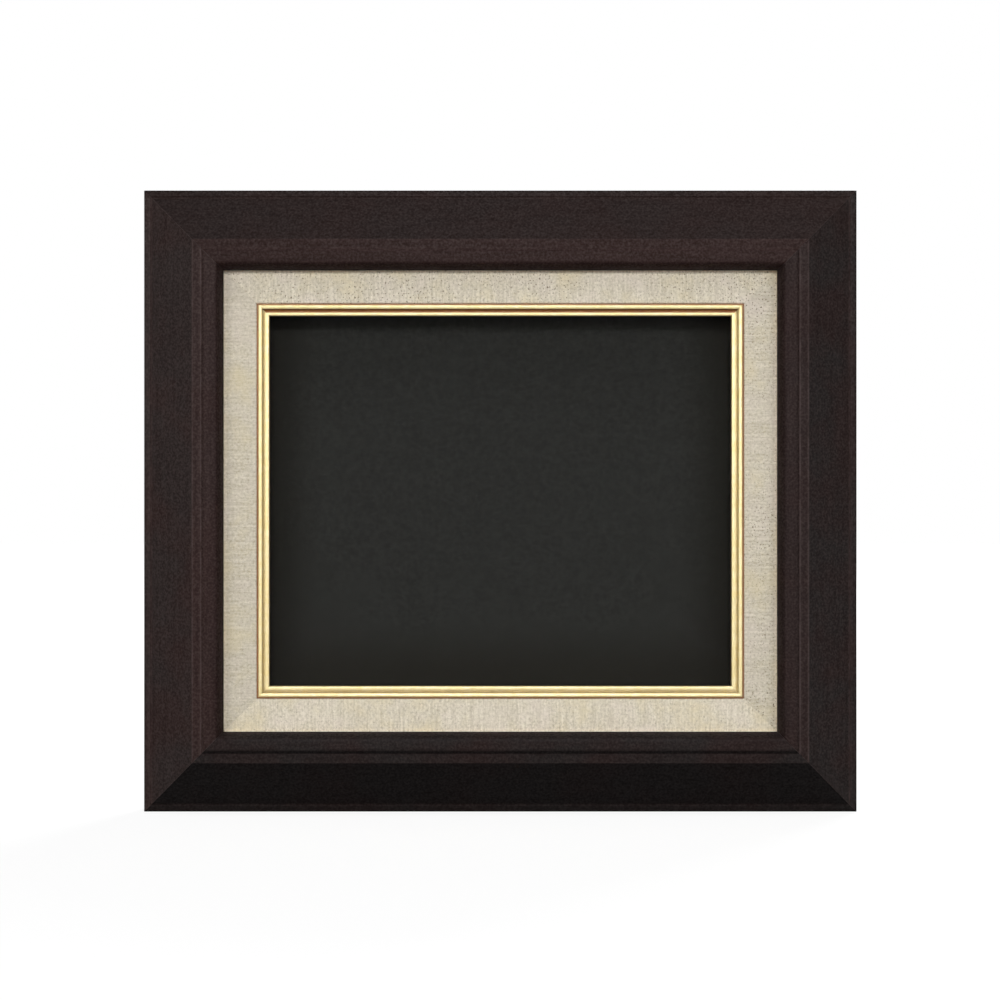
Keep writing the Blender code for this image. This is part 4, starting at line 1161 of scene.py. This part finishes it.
def strap_mesh():
    """A steel strap: a rounded flat section carried up its length and round the ring's bar.

    The half width is full but for the foot, where it follows a circle. The bar's axis is the origin.
    """
    mid = CURL_RADIUS - STRAP_THICKNESS / 2
    corner = STRAP_FOOT_CORNER
    foot = np.linspace(0, math.pi / 2, 14)[:-1]
    foot_z = -STRAP_LENGTH + corner * (1 - np.cos(foot))
    straight_z = np.linspace(-STRAP_LENGTH + corner, 0, 16)[:-1]
    curl = np.radians(np.linspace(-90, 195, 56))
    z = np.concatenate([foot_z, straight_z, mid * np.cos(curl)])
    y = np.concatenate([np.full(len(foot_z) + len(straight_z), -mid), mid * np.sin(curl)])
    half = np.full(len(z), STRAP_WIDTH / 2)
    half[: len(foot)] = STRAP_WIDTH / 2 - corner + corner * np.sin(foot)
    line = np.column_stack([z, y])
    ahead = np.gradient(line, axis=0)
    ahead /= np.linalg.norm(ahead, axis=1)[:, None]
    thin, ease = STRAP_THICKNESS / 2, 0.00022
    edge = np.array([(1, -thin, -ease), (1, 0.3 * ease - thin, -0.3 * ease), (1, ease - thin, 0)])
    around = np.concatenate([[(0, -thin, 0)], edge, edge[::-1] * (1, -1, 1), [(0, thin, 0)],
                             edge * (-1, -1, -1), edge[::-1] * (-1, 1, -1)])
    x = half[:, None] * around[:, 0] + around[:, 2]
    up = line[:, None, 0] - ahead[:, None, 1] * around[:, 1]
    out = line[:, None, 1] + ahead[:, None, 0] * around[:, 1]
    mesh = settle(grid_mesh("strap", np.stack([x, out, up], axis=-1)))
    return bored(mesh, [bore(CURL_RADIUS + 0.001, 0.0, 0, -drop) for drop in STRAP_SCREW_DROPS])


def ring_grid():
    """The D-ring: a circle of wire carried round a straight bar, two corners, two legs and a bow."""
    half, corner = RING_HALF_WIDTH, RING_CORNER
    line = evenly(np.concatenate([
        [(0, 0)],
        arc((half - corner, -corner), (corner, corner), 90, 0, 24),
        arc((0, -RING_LEG), (half, RING_BOW), 0, -180, 120),
        arc((corner - half, -corner), (corner, corner), 180, 90, 24),
        [(0, 0)],
    ]), 200)
    angle = np.arange(20) / 20 * 2 * math.pi
    outward = RING_WIRE_RADIUS * np.cos(angle)[:, None]
    x, z = np.moveaxis(line[:, None] + outward_normals(line)[:, None] * outward, -1, 0)
    return np.stack([x, np.broadcast_to(RING_WIRE_RADIUS * np.sin(angle), x.shape), z], axis=-1)


def make_hangers(steel):
    """A strap on each side rail, and the D-ring that hangs from it."""
    ring = ring_grid()
    for side, direction in (("left", -1), ("right", 1)):
        spot = (direction * (OUTER_WIDTH / 2 - HANGER_INSET), SEAT_GAP + CURL_RADIUS, HANGER_RAISE)
        strap = placed(strap_mesh(), lambda points: points + spot)
        add_piece(f"{side}_strap", strap, steel, "hanger_strap_" + side)
        mesh = settle(grid_mesh("ring", ring + spot, wrap_rings=True))
        add_piece(f"{side}_d_ring", mesh, steel, "hanger_ring_" + side, "hanger_ring_" + side)


# ---- floor, light and camera


def make_floor():
    """A plain pale floor under the frame's lower edge, white to the eye but for the frame's shadow."""
    nodes = Nodes(bpy.data.materials.new("pale_floor"))
    nodes.tree.nodes.clear()
    matte = nodes.add("BsdfDiffuse", {"Color": (0.22, 0.22, 0.22, 1.0)})
    away = nodes.add("VectorMath", {0: nodes.space()}, operation="LENGTH").outputs["Value"]
    white = nodes.spread(away, 0.35, 1.2, 0.84, 1.0)
    glow = nodes.add("Emission", {"Color": (1, 1, 1, 1), "Strength": white})
    both = nodes.add("AddShader", {0: matte.outputs[0], 1: glow.outputs[0]})
    nodes.seen_or_lit("OutputMaterial", matte, both)
    level, reach = -OUTER_HEIGHT / 2 - 0.00005, 6.0
    mesh = bpy.data.meshes.new("floor")
    mesh.from_pydata([(x * reach, y * reach, level) for x, y in ((-1, -1), (1, -1), (1, 1), (-1, 1))], [],
                     [(0, 1, 2, 3)])
    mesh.materials.append(nodes.owner)
    in_scene("floor", mesh)


def make_world():
    """White where it is seen directly, and a soft grey light elsewhere."""
    nodes = Nodes(bpy.data.worlds.new("studio"))
    bpy.context.scene.world = nodes.owner
    nodes.tree.nodes.clear()
    soft = nodes.add("Background", {"Color": (0.94, 0.97, 1.0, 1.0), "Strength": 0.14})
    white = nodes.add("Background", {"Color": (1, 1, 1, 1), "Strength": 1.0})
    nodes.seen_or_lit("OutputWorld", soft, white)


def add_lamp(name, direction, share, colour, size=1.5, distance=3.0):
    """A square soft lamp that faces the frame, from a direction. Its power gives that share of full light.

    A matt white card facing a lamp of P watts at distance d gets P over pi d squared, and looks white
    when that is pi.
    """
    lamp = bpy.data.lights.new(name, "AREA")
    lamp.shape = "SQUARE"
    lamp.size = size
    lamp.color = colour
    lamp.energy = share * (math.pi * distance) ** 2
    piece = in_scene(name, lamp)
    towards = np.array(direction, float) / np.linalg.norm(direction)
    piece.location = (towards * distance).tolist()
    piece.rotation_mode = "QUATERNION"
    piece.rotation_quaternion = piece.location.to_track_quat("Z", "Y")


def make_camera():
    """The camera, square to the frame and about a metre away."""
    camera = bpy.data.cameras.new("camera")
    camera.sensor_width = 36.0
    camera.lens = 62.05
    piece = in_scene("camera", camera)
    piece.location = (-0.0002, -1.022, 0.0006)
    piece.rotation_euler = (math.pi / 2, 0, 0)
    bpy.context.scene.camera = piece


def main():
    """Builds every piece, then the floor, the light and the camera."""
    lacquer = brown_lacquer()
    raw_back = bare_wood("bare_moulding_back", linear(196, 160, 116), linear(170, 130, 88), 1.0)
    raw_rail = bare_wood("bare_softwood", linear(214, 184, 140), linear(190, 152, 106), 0.7)
    steel = zinc_plate()
    make_mouldings(lacquer, raw_back)
    make_cores(raw_rail)
    make_linen(slubbed_linen())
    make_fillets(gilt())
    make_risers(raw_rail)
    make_panels(clear_acrylic(), fibreboard(), charcoal_card())
    make_fasteners(steel)
    make_turn_buttons(steel)
    make_hangers(steel)
    make_floor()
    make_world()
    add_lamp("key_softbox", (0.0, -0.955, 0.295), 0.42, (1.0, 1.0, 1.0), size=0.5)
    add_lamp("left_softbox", (-0.55, -0.83, 0.08), 0.28, (1.0, 0.985, 0.96), size=1.2)
    add_lamp("right_softbox", (0.52, -0.85, 0.08), 0.26, (0.97, 0.985, 1.0), size=1.2)
    add_lamp("overhead_softbox", (0.0, -0.45, 0.89), 0.32, (1.0, 1.0, 1.0))
    add_lamp("back_softbox", (0.42, 0.76, 0.50), 0.78, (1.0, 1.0, 1.0))
    make_camera()
    bpy.context.scene.view_settings.view_transform = "Standard"


main()
